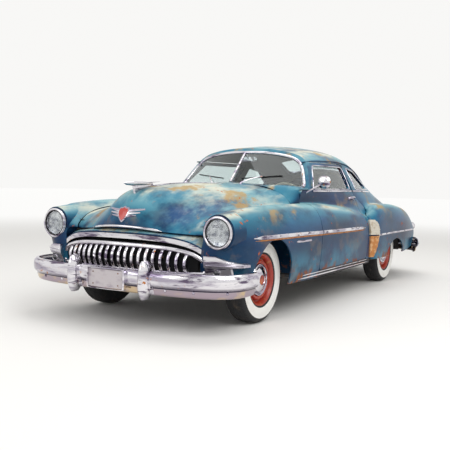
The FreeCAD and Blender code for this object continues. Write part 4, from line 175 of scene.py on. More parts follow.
def flowing(points, count):
    """Even places on a smooth line through points: cubics whose slope at each point is its chords' mean."""
    points = np.asarray(points, float)
    reach = np.r_[0, np.cumsum(np.linalg.norm(np.diff(points, axis=0), axis=1))]
    slope = np.gradient(points, reach, axis=0)
    where = np.linspace(0, reach[-1], count)
    i = np.clip(np.searchsorted(reach, where, side="right") - 1, 0, len(points) - 2)
    gap = (reach[i + 1] - reach[i])[:, None]
    t = (where - reach[i])[:, None] / gap
    return ((2 * t**3 - 3 * t**2 + 1) * points[i] + (t**3 - 2 * t**2 + t) * gap * slope[i]
            + (3 * t**2 - 2 * t**3) * points[i + 1] + (t**3 - t**2) * gap * slope[i + 1])


def grid(points, around=False, across=False, ends=False, mark=0):
    """A net of faces over points[row, column]: around joins the last row to the first, across the last
    column to the first, and ends closes the first and last rows.  Marks pick each face's finish."""
    rows, columns = points.shape[:2]
    number = np.arange(rows * columns).reshape(rows, columns)
    low, high = (number, np.roll(number, -1, 0)) if around else (number[:-1], number[1:])
    if across:
        corners = (low, np.roll(low, -1, 1), np.roll(high, -1, 1), high)
    else:
        corners = (low[:, :-1], low[:, 1:], high[:, 1:], high[:, :-1])
    quads = np.stack(corners, -1)
    marks = np.broadcast_to(np.asarray(mark), quads.shape[:2]).reshape(-1)
    caps = [number[0, ::-1], number[-1]] if ends else []
    return points.reshape(-1, 3), quads.reshape(-1, 4), caps, marks


def spots(x, y, z):
    """Places from three coordinates, each of them one number or an array."""
    return np.stack(np.broadcast_arrays(x, y, z), -1).astype(float)


AHEAD, BACK = (1, 0, 0), (-1, 0, 0)


def hoop(points):
    """A net that is joined along its rows and along its columns."""
    return grid(points, around=True, across=True)


def bar(points):
    """A net that is joined along its columns and closed by its first and last rows."""
    return grid(points, across=True, ends=True)


def piece(name, forms, finishes, body="shell", crease=38, merge=1e-5):
    """One object from several nets: doubles merged, sides turned outwards, edges over crease kept sharp."""
    corners, faces, marks, count = [], [], [], 0
    for points, quads, caps, mark in forms:
        corners.append(points)
        faces += (quads + count).tolist() + [(cap + count).tolist() for cap in caps]
        marks.append(np.r_[mark, np.zeros(len(caps), int)])
        count += len(points)
    mesh = bpy.data.meshes.new(name)
    mesh.from_pydata(np.concatenate(corners).tolist(), [], faces)
    mesh.polygons.foreach_set("material_index", np.concatenate(marks).astype(np.int32))
    net = bmesh.new()
    net.from_mesh(mesh)
    bmesh.ops.remove_doubles(net, verts=net.verts, dist=merge)
    bmesh.ops.recalc_face_normals(net, faces=net.faces)
    net.to_mesh(mesh)
    net.free()
    mesh.polygons.foreach_set("use_smooth", np.ones(len(mesh.polygons), bool))
    mesh.set_sharp_from_angle(angle=math.radians(crease))
    for made in finishes if isinstance(finishes, (list, tuple)) else [finishes]:
        mesh.materials.append(made)
    made_piece = bpy.data.objects.new(name, mesh)
    bpy.context.scene.collection.objects.link(made_piece)
    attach(made_piece, body)
    return made_piece


def turned(profile, centre, axis, count=64):
    """A profile (along, out) turned about an axis: rows are angles, columns the profile's places."""
    profile = np.asarray(profile, float)
    axis = np.asarray(axis, float) / np.linalg.norm(axis)
    side = np.cross(axis, (0, 0, 1) if abs(axis[2]) < 0.9 else (1, 0, 0))
    side /= np.linalg.norm(side)
    other = np.cross(axis, side)
    angle = np.linspace(0, 2 * np.pi, count, endpoint=False)[:, None]
    spoke = np.cos(angle) * side + np.sin(angle) * other
    return (np.asarray(centre) + axis * profile[None, :, :1] + spoke[:, None] * profile[None, :, 1:])


def bead(profile, centre, axis, count=64):
    """A solid turned from a profile that starts and ends on the axis."""
    return grid(turned(profile, centre, axis, count), around=True)


tyre_black = worn_finish("tyre_black", (0.018, 0.018, 0.02), 0.82, [(0.1, 0.5, 0.8, (0.1, 0.075, 0.055))])
white_wall = worn_finish("white_wall", (0.8, 0.79, 0.76), 0.55, [(0.09, 0.55, 0.85, (0.5, 0.42, 0.36))])
wheel_red = worn_finish("wheel_red", (0.36, 0.03, 0.015), 0.4,
                        [(0.05, 0.52, 0.7, (0.44, 0.12, 0.03)),
                         (0.09, 0.55, 0.75, (1, 1, 1), 6.0, (0.08, 0.02, 0.02))], Coat_Weight=0.2)


def chrome_with_painted_reflections(name, drawn_out=(2.0, 2.4, 0.4), roughness=0.13):
    """Bright plating with painted reflections: mauve-grey and dark streaks along the metal, undersides
    painted darker as shade, and specks of rust.
    """
    made = plain_finish(name, (0.76, 0.745, 0.78), roughness, 1.0)
    rust = product(made, patches(made, 0.05, 0.60, 0.68), patches(made, 0.45, 0.5, 0.6, shift=3.0))
    # The streaks are painted reflections and the undersides' darker mauve is painted shade; the rust specks
    # are real.
    painted_underside_shade = stepped(made, facing_up(made), -0.25, -0.85, 0.0, 0.85)
    coloured(made, [(patches(made, 0.17, 0.44, 0.62, drawn_out, shift=1.3), (0.40, 0.365, 0.45)),
                    (patches(made, 0.10, 0.54, 0.64, drawn_out, shift=8.0), (0.13, 0.10, 0.16)),
                    (painted_underside_shade, (0.22, 0.19, 0.25)), (rust, (0.52, 0.20, 0.045))])
    roughened(made, [(rust, 0.7)])
    return made


chrome = chrome_with_painted_reflections("chrome")

TREAD_HALF = 0.062
TREAD_PLACES = np.linspace(-TREAD_HALF, TREAD_HALF, 41)
TREAD_RADIUS, TREAD_CROWN = 0.3499, 1.35
GROOVES, GROOVE_HALF, GROOVE_DEPTH = (-0.042, -0.015, 0.015, 0.042), 0.0022, 0.0065
ZIGZAGS, ZIGZAG_REACH = 40, 0.0035
SHOULDER, NOTCH_SHARE = 0.053, 0.34
TYRE_STEPS = 240
SIDE_WALL = ((0.066, 0.1965), (0.074, 0.206), (0.0835, 0.222), (0.0845, 0.2235), (0.0845, 0.226),
             (0.0895, 0.244), (0.0922, 0.268), (0.0918, 0.288), (0.0895, 0.303), (0.0905, 0.305),
             (0.0895, 0.3075), (0.084, 0.322), (0.0755, 0.334), (0.068, 0.341))
INNER_WALL = ((0.058, 0.1975), (0.070, 0.222), (0.078, 0.262), (0.076, 0.295), (0.058, 0.326), (0.0, 0.333))


def tyre_net(centre, outward):
    """The tyre's closed section carried round its axle.  The tread's radius falls with the square of the
    way across, by a groove's depth along four zigzag lines, and at short notches on its two shoulders."""
    angle = np.linspace(0, 2 * np.pi, TYRE_STEPS, endpoint=False)[:, None]
    across = TREAD_PLACES[None]
    beat = angle * ZIGZAGS / np.pi
    zigzag = ZIGZAG_REACH * (2 * np.abs(beat % 2 - 1) - 1)
    groove = sum(np.exp(-(((across - line - zigzag) / GROOVE_HALF) ** 4)) for line in GROOVES)
    notch = (np.abs(across) > SHOULDER) * (beat % 1 < NOTCH_SHARE)
    radius = TREAD_RADIUS - TREAD_CROWN * across**2 - GROOVE_DEPTH * np.clip(groove + notch, 0, 1)
    wall, inner, flip = np.array(SIDE_WALL), np.array(INNER_WALL), np.array([-1, 1])
    left = wall[:-1] * flip
    right = np.concatenate([wall[:-1][::-1], inner, inner[:-1][::-1] * flip])
    tread = np.stack([np.broadcast_to(across, radius.shape), radius], -1)
    section = np.concatenate([np.broadcast_to(left, (TYRE_STEPS, *left.shape)), tread,
                              np.broadcast_to(right, (TYRE_STEPS, *right.shape))], 1)
    spoke = spots(np.cos(angle), 0.0, np.sin(angle))
    points = centre + section[..., :1] * np.array([0, outward, 0]) + spoke * section[..., 1:]
    first = len(left) + len(TREAD_PLACES)
    column = np.arange(section.shape[1])
    white = (column >= first + 2) & (column <= first + 8)
    return grid(points, around=True, across=True, mark=np.broadcast_to(white.astype(int), points.shape[:2]))


RIM_SECTION = ((0.0745, 0.2095), (0.0790, 0.2085), (0.0800, 0.2050), (0.0775, 0.2010), (0.0700, 0.1960),
               (0.0640, 0.1900), (0.0300, 0.1830), (0.0220, 0.1690), (0.0, 0.1660), (-0.0220, 0.1690),
               (-0.0300, 0.1830), (-0.0640, 0.1900), (-0.0745, 0.1990), (-0.0745, 0.2095), (-0.0710, 0.2080),
               (-0.0690, 0.1995), (-0.0600, 0.1955), (-0.0300, 0.1900), (-0.0200, 0.1760), (0.0, 0.1730),
               (0.0200, 0.1760), (0.0300, 0.1900), (0.0600, 0.1955), (0.0700, 0.2010))
DISC_SECTION = ((0.02, 0.169), (0.036, 0.166), (0.056, 0.159), (0.0625, 0.15), (0.061, 0.141), (0.048, 0.129),
                (0.04, 0.11), (0.038, 0.09), (0.038, 0.0245), (-0.03, 0.0245), (-0.03, 0.062), (0.029, 0.062),
                (0.03, 0.112), (0.044, 0.144), (0.03, 0.158), (0.014, 0.165))
CAP_SECTION = ((0.05, 0.13), (0.059, 0.131), (0.064, 0.127), (0.064, 0.119), (0.059, 0.112), (0.059, 0.106),
               (0.067, 0.099), (0.073, 0.085), (0.076, 0.078), (0.079, 0.064), (0.084, 0.052), (0.085, 0.044),
               (0.08, 0.0405), (0.08, 0.0), (0.048, 0.0), (0.048, 0.124))
MIDDLE_SECTION = ((0.079, 0.04), (0.0845, 0.037), (0.088, 0.02), (0.089, 0.0), (0.078, 0.0), (0.078, 0.039))
VALVE_PROFILE = ((0.0, 0.0), (0.0, 0.005), (0.030, 0.0045), (0.034, 0.0))
VALVE_OUT, VALVE_UP = 0.045, 0.176
AXLE_HEIGHT = 0.35
WHEELS = (("front_left", 1.680, 0.745, 1), ("front_right", 1.680, -0.745, -1),
          ("rear_left", -1.395, 0.775, 1), ("rear_right", -1.395, -0.775, -1))
for corner, x, y, outward in WHEELS:
    hub = np.array([x, y, AXLE_HEIGHT])
    body = f"{corner}_wheel"
    axle = (0, outward, 0)
    rubber = piece(f"tyre_{corner}_tread", [tyre_net(hub, outward)], [tyre_black, white_wall], body)
    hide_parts(f"tyre_{corner}")
    disc = piece(f"rim_{corner}", [hoop(turned(RIM_SECTION, hub, axle, 96)),
                                   hoop(turned(DISC_SECTION, hub, axle, 96))], wheel_red, body)
    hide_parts(f"wheel_{corner}")
    piece(f"cap_{corner}", [bead(CAP_SECTION, hub, axle, 96)], chrome, body, 25)
    piece(f"cap_middle_{corner}", [bead(MIDDLE_SECTION, hub, axle, 64)], wheel_red, body)
    valve_foot = hub + np.array([0, VALVE_OUT * outward, VALVE_UP])
    piece(f"valve_{corner}", [bead(VALVE_PROFILE, valve_foot, axle, 12)], tyre_black, body)

# Body shell: pressed steel panels welded and bolted together, in deep blue gloss whose crowns are painted
# lighter blue, pale teal and cream as painted reflections of the sky, with ochre bare patches and orange rust
# blisters.

body_paint = plain_finish("body_paint", (0.004, 0.014, 0.052), 0.28, Coat_Weight=0.06, Coat_Roughness=0.1,
                          Specular_IOR_Level=0.13)
upward = facing_up(body_paint)
above = height_above_ground(body_paint)


def eased_patches(value, span, *patch):
    """The body paint's share of one layer: a value eased over a span, times patches of the layer's own."""
    return product(body_paint, stepped(body_paint, value, *span), patches(body_paint, *patch))


# Painted reflections and highlights: faces that look up get lighter blue, teal, pale blue and cream in
# patches; the ochre bare patches and the rust are the paint's own.
painted_blue_highlight = eased_patches(upward, (-0.1, 0.55, 0.30, 1.0), 0.60, 0.36, 0.66, (1.6, 1.0, 0.7), 2.0)
low_wash = eased_patches(above, (0.62, 0.42), 0.30, 0.44, 0.64, (1.3, 1.0, 1.3), 37.0)
painted_teal_reflection = eased_patches(upward, (0.10, 0.70, 0.10, 1.0), 0.42, 0.36, 0.58, (1.6, 0.9, 0.7), 7.0)
painted_pale_reflection = eased_patches(upward, (0.45, 0.92, 0.0, 0.95), 0.34, 0.40, 0.60, (1.8, 0.8, 1.0), 11.0)
painted_cream_highlight = eased_patches(upward, (0.62, 0.97, 0.0, 0.95), 0.30, 0.46, 0.64, (2.0, 0.8, 1.0), 13.0)
ochre_share = eased_patches(upward, (0.2, 0.75, 0.12, 0.8), 0.24, 0.56, 0.66, (1.5, 1.0, 1.2), 17.0)
rust_share = product(body_paint, patches(body_paint, 0.045, 0.60, 0.68, shift=23.0),
                     patches(body_paint, 0.34, 0.50, 0.60, shift=29.0))
low_rust = eased_patches(above, (0.46, 0.30), 0.10, 0.52, 0.62, (1, 1, 1), 31.0)
coloured(body_paint, [
    (painted_blue_highlight, (0.010, 0.075, 0.21)), (low_wash, (0.025, 0.15, 0.24)), (painted_teal_reflection, (0.035, 0.20, 0.30)),
    (painted_pale_reflection, (0.22, 0.44, 0.48)), (painted_cream_highlight, (0.66, 0.66, 0.54)), (ochre_share, (0.44, 0.27, 0.08)),
    (rust_share, (0.45, 0.11, 0.012)), (low_rust, (0.30, 0.10, 0.03))])
roughened(body_paint, [(painted_pale_reflection, 0.38), (painted_cream_highlight, 0.5), (ochre_share, 0.6), (rust_share, 0.9),
                       (low_rust, 0.9)])
blisters = wired(body_paint, "ShaderNodeMath", rust_share, low_rust, operation="MAXIMUM").outputs[0]
pitted(body_paint, blisters, 0.0006)
dressed(("cowl", "roof", "quarter_left", "quarter_right", "tail_panel", "rear_fender_left",
         "rear_fender_right", "front_fender_left", "front_fender_right", "bonnet", "boot_lid", "door_left",
         "door_right"), body_paint)
floor_black = plain_finish("floor_black", (0.030, 0.028, 0.028), 0.8)
floor_dust = product(floor_black, stepped(floor_black, facing_up(floor_black), 0.6, 0.9),
                     stepped(floor_black, height_above_ground(floor_black), 0.30, 0.31))
coloured(floor_black, [(floor_dust, (0.10, 0.085, 0.07))])
dressed(("floor",), floor_black)

# Nose: the header sheet between bonnet and grille is painted with the body, while the pan and the
# radiator are dull black; a woven black screen behind the teeth is a dark sheet that paints the shade inside
# the grille.


def lined(name, inside, finish):
    """Gives a second finish to a CAD node's faces whose middle and side pass a test."""
    mesh = solids[name].data
    middle = np.empty(len(mesh.polygons) * 3, np.float32)
    side = middle.copy()
    mesh.polygons.foreach_get("center", middle)
    mesh.polygons.foreach_get("normal", side)
    mesh.materials.append(finish)
    chosen = inside(middle.reshape(-1, 3), side.reshape(-1, 3))
    mesh.polygons.foreach_set("material_index", chosen.astype(np.int32))


def sheet(front, back):
    """A thin sheet's net: its front rows and, in turn, its back rows, joined round all its edges."""
    return bar(np.swapaxes(np.concatenate([front, back[::-1]], 0), 0, 1))


grille_black = plain_finish("grille_black", (0.006, 0.006, 0.008), 0.75)
dressed(("nose_panel",), body_paint)
lined("nose_panel", lambda middle, side: (middle[:, 2] < 0.60) | (middle[:, 0] < 2.17), grille_black)
SCREEN_X, SCREEN_BOW, SCREEN_HALF, SCREEN_THICKNESS = 2.352, 0.075, 0.60, 0.006
SCREEN_FOOT, SCREEN_TOP, SCREEN_DROOP = 0.437, 0.655, 0.05
WAVE_HEIGHT, WAVE_PITCH = 0.0015, 0.03
up, across = np.linspace(0, 1, 25)[:, None], np.linspace(-1, 1, 81)[None]
screen_y = SCREEN_HALF * across
screen_z = SCREEN_FOOT + (SCREEN_TOP - SCREEN_FOOT - SCREEN_DROOP * across**4) * up
wave = WAVE_HEIGHT * np.sin(screen_y * 2 * np.pi / WAVE_PITCH)
screen_front = spots(SCREEN_X - SCREEN_BOW * across**2 + wave, screen_y, screen_z)
screen = sheet(screen_front, screen_front - [SCREEN_THICKNESS, 0, 0])
# The black screen stands in for the shade inside the grille, behind the teeth.
piece("grille_screen", [screen], grille_black, "shell")

# Bright metal castings and pressings: grille with its crest, lamp housings and hoods, ornament and
# door mirror, and bumpers whose lower apron is dulled cream and mauve under a rolled groove painted dark as
# shade.

dressed(("grille", "bonnet_ornament", "door_mirror"), chrome)
dressed(("lamp_housings",), chrome_with_painted_reflections("hood_chrome", (1.0, 2.6, 0.3), 0.34))
bumper_chrome = chrome_with_painted_reflections("bumper_chrome", (1.2, 3.2, 0.35))
bumper_z = height_above_ground(bumper_chrome)
bumper_place = wired(bumper_chrome, "ShaderNodeTexCoord").outputs["Object"]
off_guard = wired(bumper_chrome, "ShaderNodeSeparateXYZ", bumper_place).outputs[1]
GUARD_Y = 0.34
for step in (("ABSOLUTE",), ("SUBTRACT", GUARD_Y), ("ABSOLUTE",)):
    off_guard = wired(bumper_chrome, "ShaderNodeMath", off_guard, *step[1:], operation=step[0]).outputs[0]
off_guard = stepped(bumper_chrome, off_guard, 0.062, 0.066)
# The rolled groove is painted near-black as shade.
groove = product(bumper_chrome, stepped(bumper_chrome, bumper_z, 0.346, 0.350),
                 stepped(bumper_chrome, bumper_z, 0.360, 0.357), off_guard)
apron = product(bumper_chrome, stepped(bumper_chrome, bumper_z, 0.350, 0.344), off_guard)
apron_worn = product(bumper_chrome, apron, patches(bumper_chrome, 0.14, 0.46, 0.60, (1, 2.5, 1), 9.0))
coloured(bumper_chrome, [(apron, (0.40, 0.33, 0.38)), (apron_worn, (0.60, 0.46, 0.30)),
                         (groove, (0.05, 0.04, 0.07))])
dressed(("front_bumper", "rear_bumper"), bumper_chrome)

# Glass: curved windscreen in two halves, wrapped rear window, quarter windows and door windows,
# bedded in black rubber behind bright mouldings.

window_glass = plain_finish("window_glass", (0.80, 0.88, 0.88), 0.0, Transmission_Weight=1.0, IOR=1.45)
dressed(("fixed_glass", "door_glass_left", "door_glass_right"), window_glass)

trees = {}


def seated(places, toward, names, lift=0.0, calm=3):
    """Where rays from the places first meet the named solids, lifted off along the surface's outward
    side, with that side evened out between neighbours; a ray that misses is filled in from them."""
    key = tuple(names)
    if key not in trees:
        corners, sides = [], []
        for name in key:
            mesh = solids[name].data
            start = len(corners)
            corners += [vertex.co.copy() for vertex in mesh.vertices]
            sides += [[start + index for index in face.vertices] for face in mesh.polygons]
        trees[key] = BVHTree.FromPolygons(corners, sides)
    toward = np.broadcast_to(np.asarray(toward, float), np.shape(places))
    hits = [trees[key].ray_cast(Vector(place), Vector(way)) for place, way in zip(places, toward)]
    found = np.array([hit[0] is not None for hit in hits])
    order = np.arange(len(hits))
    points = np.array([hit[0] if hit[0] is not None else (0, 0, 0) for hit in hits], float)
    sides = np.array([hit[1] if hit[0] is not None else (0, 0, 0) for hit in hits], float)
    sides *= np.where((sides * toward).sum(1, keepdims=True) > 0, -1, 1)
    for axis in range(3):
        points[:, axis] = np.interp(order, order[found], points[found, axis])
        sides[:, axis] = np.interp(order, order[found], sides[found, axis])
    for _ in range(calm):
        sides = np.pad(sides, ((1, 1), (0, 0)), "edge")
        sides = (sides[:-2] + sides[1:-1] + sides[2:]) / 3
    sides /= np.linalg.norm(sides, axis=1, keepdims=True)
    return points + sides * lift, sides


def from_side(x, z, names, lift=0.0, calm=3):
    """Where rays that come in from the car's left meet the named solids."""
    return seated(spots(x, 1.35, z), (0, -1, 0), names, lift, calm)


def from_ahead(y, z, names, lift=0.0, calm=3):
    """Where rays that come from in front of the car meet the named solids."""
    return seated(spots(2.9, y, z), BACK, names, lift, calm)


def from_above(x, y, names, lift=0.0, calm=3):
    """Where rays that come down on the car meet the named solids."""
    return seated(spots(x, y, 1.8), (0, 0, -1), names, lift, calm)


def carried(path, out, outline, size=1.0, loop=False):
    """An outline (across, out from the surface) carried along a path and turned with it; places of the
    path that repeat the one before are left out."""
    path = np.asarray(path, float)
    fresh = np.r_[True, np.linalg.norm(np.diff(path, axis=0), axis=1) > 1e-6]
    out = np.broadcast_to(np.asarray(out, float), path.shape)[fresh]
    size = np.broadcast_to(size, len(path))[fresh]
    path = path[fresh]
    if loop:
        forward = np.roll(path, -1, 0) - np.roll(path, 1, 0)
    else:
        forward = np.gradient(path, axis=0)
    forward /= np.linalg.norm(forward, axis=1, keepdims=True)
    out = out - (out * forward).sum(1, keepdims=True) * forward
    out /= np.linalg.norm(out, axis=1, keepdims=True)
    across = np.cross(forward, out)
    rings = np.asarray(outline, float)[None] * np.reshape(size, (-1, 1, 1))
    return path[:, None] + across[:, None] * rings[..., :1] + out[:, None] * rings[..., 1:]


def half_round(width, height, sink=0.003, count=9):
    """A moulding's outline: half an ellipse over a foot that is sunk into the surface."""
    angle = np.linspace(0, np.pi, count)
    arch = np.stack([np.cos(angle) * width / 2, np.sin(angle) * height], 1)
    return np.concatenate([arch, [(-width / 2, -sink), (width / 2, -sink)]])


def mirrored(points):
    """Left turned into right: y becomes minus y."""
    return points * np.array([1, -1, 1])


SIDES = (("left", lambda points: points), ("right", mirrored))


def on_both_sides(name, forms, finish, body="shell"):
    """A piece on the left and its mirror image on the right; a door's piece rides on its side's door."""
    for side, flip in SIDES:
        nets = [(flip(points), *rest) for points, *rest in forms]
        piece(f"{name}_{side}", nets, finish, f"{side}_door" if body == "door" else body)


def smooth_loop(points, count, rounds=6):
    """A closed line walked in even steps, its corners eased by averaging neighbours."""
    points = np.asarray(points, float)
    closed = np.concatenate([points, points[:1]])
    reach = np.r_[0, np.cumsum(np.linalg.norm(np.diff(closed, axis=0), axis=1))]
    where = np.linspace(0, reach[-1], count, endpoint=False)
    even = np.stack([np.interp(where, reach, closed[:, axis]) for axis in range(points.shape[1])], 1)
    for _ in range(rounds):
        even = (np.roll(even, 1, 0) + even + np.roll(even, -1, 0)) / 3
    return even


def glass_outline(keep, first, second, inset):
    """The outer edge of some of the fixed glass, seen along one axis, drawn in a little."""
    mesh = solids["fixed_glass"].data
    corners = np.empty(len(mesh.vertices) * 3, np.float32)
    mesh.vertices.foreach_get("co", corners)
    corners = corners.reshape(-1, 3)
    corners = corners[keep(corners)][:, [first, second]].astype(float)
    edge = corners[geometry.convex_hull_2d([tuple(corner) for corner in corners])]
    middle = edge.mean(0)
    return edge + (middle - edge) / np.linalg.norm(middle - edge, axis=1, keepdims=True) * inset


black_rubber = plain_finish("black_rubber", (0.012, 0.012, 0.013), 0.7)
edge = smooth_loop(glass_outline(lambda c: c[:, 0] > 0.25, 1, 2, 0.006), 260)
path, out = from_ahead(edge[:, 0], edge[:, 1], ("fixed_glass",), 0.001)
piece("windscreen_moulding", [hoop(carried(path, out, half_round(0.032, 0.012, 0.012), loop=True))], chrome)
middle_z = edge[np.abs(edge[:, 0]) < 0.05, 1]
low, high = middle_z.min(), middle_z.max()
path, out = from_ahead(0.0, low + (high - low) * np.linspace(0.02, 0.98, 30), ("fixed_glass",), 0.001)
piece("windscreen_divider", [bar(carried(path, (1, 0, 0.6), half_round(0.026, 0.012, 0.006)))], chrome)
edge = smooth_loop(glass_outline(lambda c: (c[:, 0] < -0.95) & (np.abs(c[:, 1]) < 0.47), 0, 1, 0.004), 220)
path, out = from_above(edge[:, 0], edge[:, 1], ("fixed_glass",), 0.004)
piece("rear_window_moulding", [hoop(carried(path, out, half_round(0.024, 0.016, 0.006), loop=True))], chrome)

# Side window frames and the belt moulding: bright strips screwed to the doors and quarter panels, and a
# painted gutter welded along the roof's edge.

DOOR_WINDOW = ((-0.461, 1.081), (-0.461, 1.313), (0.304, 1.313), (0.529, 1.081))
QUARTER_WINDOW = ((-0.637, 1.081), (-0.637, 1.314), (-0.903, 1.274), (-1.236, 1.081))


def window_frame(corners, names):
    """A half round strip carried round a window's eased corners, where rays from the side find the body."""
    edge = smooth_loop(corners, 220, 10)
    path, out = from_side(edge[:, 0], edge[:, 1], names)
    return carried(path, out, half_round(0.012, 0.006), loop=True)


def strip(xs, zs, names, width, height, count=70, tip=0.25):
    """A side moulding along the body from place to place, narrowing at its last tenth if tip is below 1."""
    path, out = from_side(*flowing(np.stack([xs, zs], 1), count).T, names, 0.0, 8)
    size = np.clip((1 - np.linspace(0, 1, count)) * 10, tip, 1)
    return carried(path, out, half_round(width, height), size)


door_frame = window_frame(DOOR_WINDOW, ("door_left",))
quarter_frame = window_frame(QUARTER_WINDOW, ("quarter_left",))
belt_door = strip((0.545, 0.2, -0.493), (1.062, 1.062, 1.062), ("door_left",), 0.020, 0.008, tip=1)
belt_quarter = strip((-0.512, -0.9, -1.30), (1.062, 1.060, 1.052), ("quarter_left",), 0.020, 0.008)
GUTTER = ((0.47, 0.6, 1.338), (0.25, 0.606, 1.356), (-0.05, 0.608, 1.366), (-0.3, 0.607, 1.369),
          (-0.52, 0.602, 1.362), (-0.72, 0.593, 1.346), (-0.95, 0.574, 1.305), (-1.15, 0.553, 1.257),
          (-1.35, 0.528, 1.196), (-1.5, 0.508, 1.148))
GUTTER_OUTLINE = ((-0.006, -0.006), (0.006, -0.006), (0.007, 0.006), (0.003, 0.01), (0.001, 0.003),
                  (-0.005, 0.003))
gutter = carried(flowing(GUTTER, 90), (0.0, 1.0, 0.55), GUTTER_OUTLINE)
on_both_sides("door_window_frame", [hoop(door_frame)], chrome, "door")
on_both_sides("belt_door", [bar(belt_door)], chrome, "door")
on_both_sides("quarter_trim", [hoop(quarter_frame), bar(belt_quarter)], chrome)
on_both_sides("gutter", [bar(gutter)], body_paint, "shell")

# Side spear, name bar and rocker mouldings: rolled bright strip clipped along the wings and doors, the
# spear's lower lip rusted orange, and the name bar left bare.

rust_lip = worn_finish("rust_lip", (0.46, 0.19, 0.05), 0.75, [(0.05, 0.4, 0.6, (0.3, 0.1, 0.03))])
spear_wing = strip((0.808, 1.4, 2.07), (0.697, 0.706, 0.712), ("front_fender_left",), 0.036, 0.012)
spear_door = strip((0.793, 0.2, -0.41), (0.697, 0.690, 0.683), ("door_left",), 0.036, 0.012)
lip_wing = strip((0.808, 1.4, 2.05), (0.676, 0.685, 0.692), ("front_fender_left",), 0.013, 0.007)
lip_door = strip((0.793, 0.2, -0.39), (0.676, 0.669, 0.663), ("door_left",), 0.013, 0.007)
name_bar = strip((1.06, 1.20, 1.36), (0.642, 0.643, 0.645), ("front_fender_left",), 0.020, 0.007, 40, 0.3)
rocker_x = np.linspace(1.23, -0.60, 90)
line, _ = from_side(rocker_x, 0.325, ("front_fender_left", "floor", "quarter_left", "cowl"))
fitted = np.polyval(np.polyfit(rocker_x, line[:, 1], 3), rocker_x)
fitted += max(0, np.percentile(line[:, 1] - fitted, 90))
ROCKER_OUTLINE = ((-0.006, -0.012), (0.006, -0.012), (0.006, 0.001), (0.003, 0.004), (-0.003, 0.004),
                  (-0.006, 0.001))
rocker_ends = np.clip(np.minimum(np.linspace(0, 12, 90), np.linspace(12, 0, 90)), 0.3, 1)
rockers = [carried(spots(rocker_x, fitted, height), (0, 1, 0), ROCKER_OUTLINE, rocker_ends)
           for height in (0.311, 0.337)]
on_both_sides("spear_wing", [bar(form) for form in (spear_wing, name_bar, *rockers)], chrome)
on_both_sides("spear_door", [bar(spear_door)], chrome, "door")
on_both_sides("spear_lip_wing", [bar(lip_wing)], rust_lip, "shell")
on_both_sides("spear_lip_door", [bar(lip_door)], rust_lip, "door")

# Rear wing stone guards: a ribbed pressing over the pod's front, silvered above and coppery rust
# below, with a bright moulding from its middle to the tail.

guard_bright = worn_finish("guard_bright", (0.62, 0.58, 0.5), 0.35,
                           [(0.07, 0.45, 0.65, (0.42, 0.33, 0.22))], 0.7)
guard_copper = worn_finish("guard_copper", (0.52, 0.22, 0.07), 0.5,
                           [(0.06, 0.45, 0.62, (0.66, 0.4, 0.2)),
                            (0.05, 0.58, 0.68, (1, 1, 1), 4.0, (0.28, 0.09, 0.03))], 0.5)

GUARD_LIFT, GUARD_SINK, RIB_HEIGHT = 0.004, 0.012, 0.0018


def guard_net(heights, fronts, rears, ribs, bulge):
    """A ribbed sheet over the wing's front edge: at each height a cubic is fitted over the surface that
    rays find and raised until it clears it, half a sine wave bulges it, and ribs are waves up the sheet."""
    along = np.linspace(0, 1, 33)
    skin = []
    for height in np.linspace(heights[0], heights[-1], 61):
        x = np.interp(height, heights, fronts) * (1 - along) + np.interp(height, heights, rears) * along
        found = from_side(x, height, ("quarter_left", "rear_fender_left"))[0][:, 1]
        fit = np.polyval(np.polyfit(along, found, 3), along)
        skin.append(spots(x, fit + np.max(found - fit), height))
    skin = np.array(skin)
    skin[..., 1] = smooth_rows(skin[..., 1])
    wave = np.cos(np.linspace(0, ribs * 2 * np.pi, 61))[:, None]
    lift = GUARD_LIFT + bulge * np.sin(np.pi * along)[None] ** 0.7 + RIB_HEIGHT * wave
    return sheet(skin + spots(0.0, lift, 0.0), skin - (0.0, GUARD_SINK, 0.0))


def smooth_rows(values, rounds=4):
    """Each row evened out with the rows above and below it."""
    for _ in range(rounds):
        wide = np.pad(values, ((1, 1), (0, 0)), "edge")
        values = np.maximum(values, (wide[:-2] + wide[1:-1] + wide[2:]) / 3)
    return values


upper_guard = guard_net((0.6, 0.66, 0.72, 0.76), (-0.526, -0.53, -0.545, -0.575),
                        (-0.712, -0.706, -0.688, -0.645), 6, 0.012)
lower_guard = guard_net((0.355, 0.42, 0.5, 0.586), (-0.585, -0.56, -0.542, -0.532),
                        (-0.632, -0.665, -0.69, -0.702), 4, 0.01)
pod_strip = strip((-0.705, -1.0, -1.5, -2.0, -2.26), (0.592, 0.594, 0.594, 0.588, 0.582),
                  ("rear_fender_left",), 0.022, 0.009)
on_both_sides("stone_guard_upper", [upper_guard], guard_bright)
on_both_sides("stone_guard_lower", [lower_guard], guard_copper, "shell")
on_both_sides("pod_moulding", [bar(pod_strip)], chrome)

# Door handles: die-cast bright pull bars, each on two domed feet, the rear one with a push button.
# They are bolted through the door's skin below the belt moulding.


def stud(centre, out, radius, height, count=24):
    """A domed head: a quarter ellipse turned about the line that stands off the surface."""
    angle = np.linspace(0, np.pi / 2, 7)
    profile = np.stack([np.sin(angle) * height, np.cos(angle) * radius], 1)
    profile = np.concatenate([[(-height, 0), (-height, radius)], profile])
    return bead(profile, centre, out, count)


def circle(count):
    """A closed line at a distance of 1: the cosines and sines of even angles."""
    angle = np.linspace(0, 2 * np.pi, count, endpoint=False)
    return np.stack([np.cos(angle), np.sin(angle)], 1)


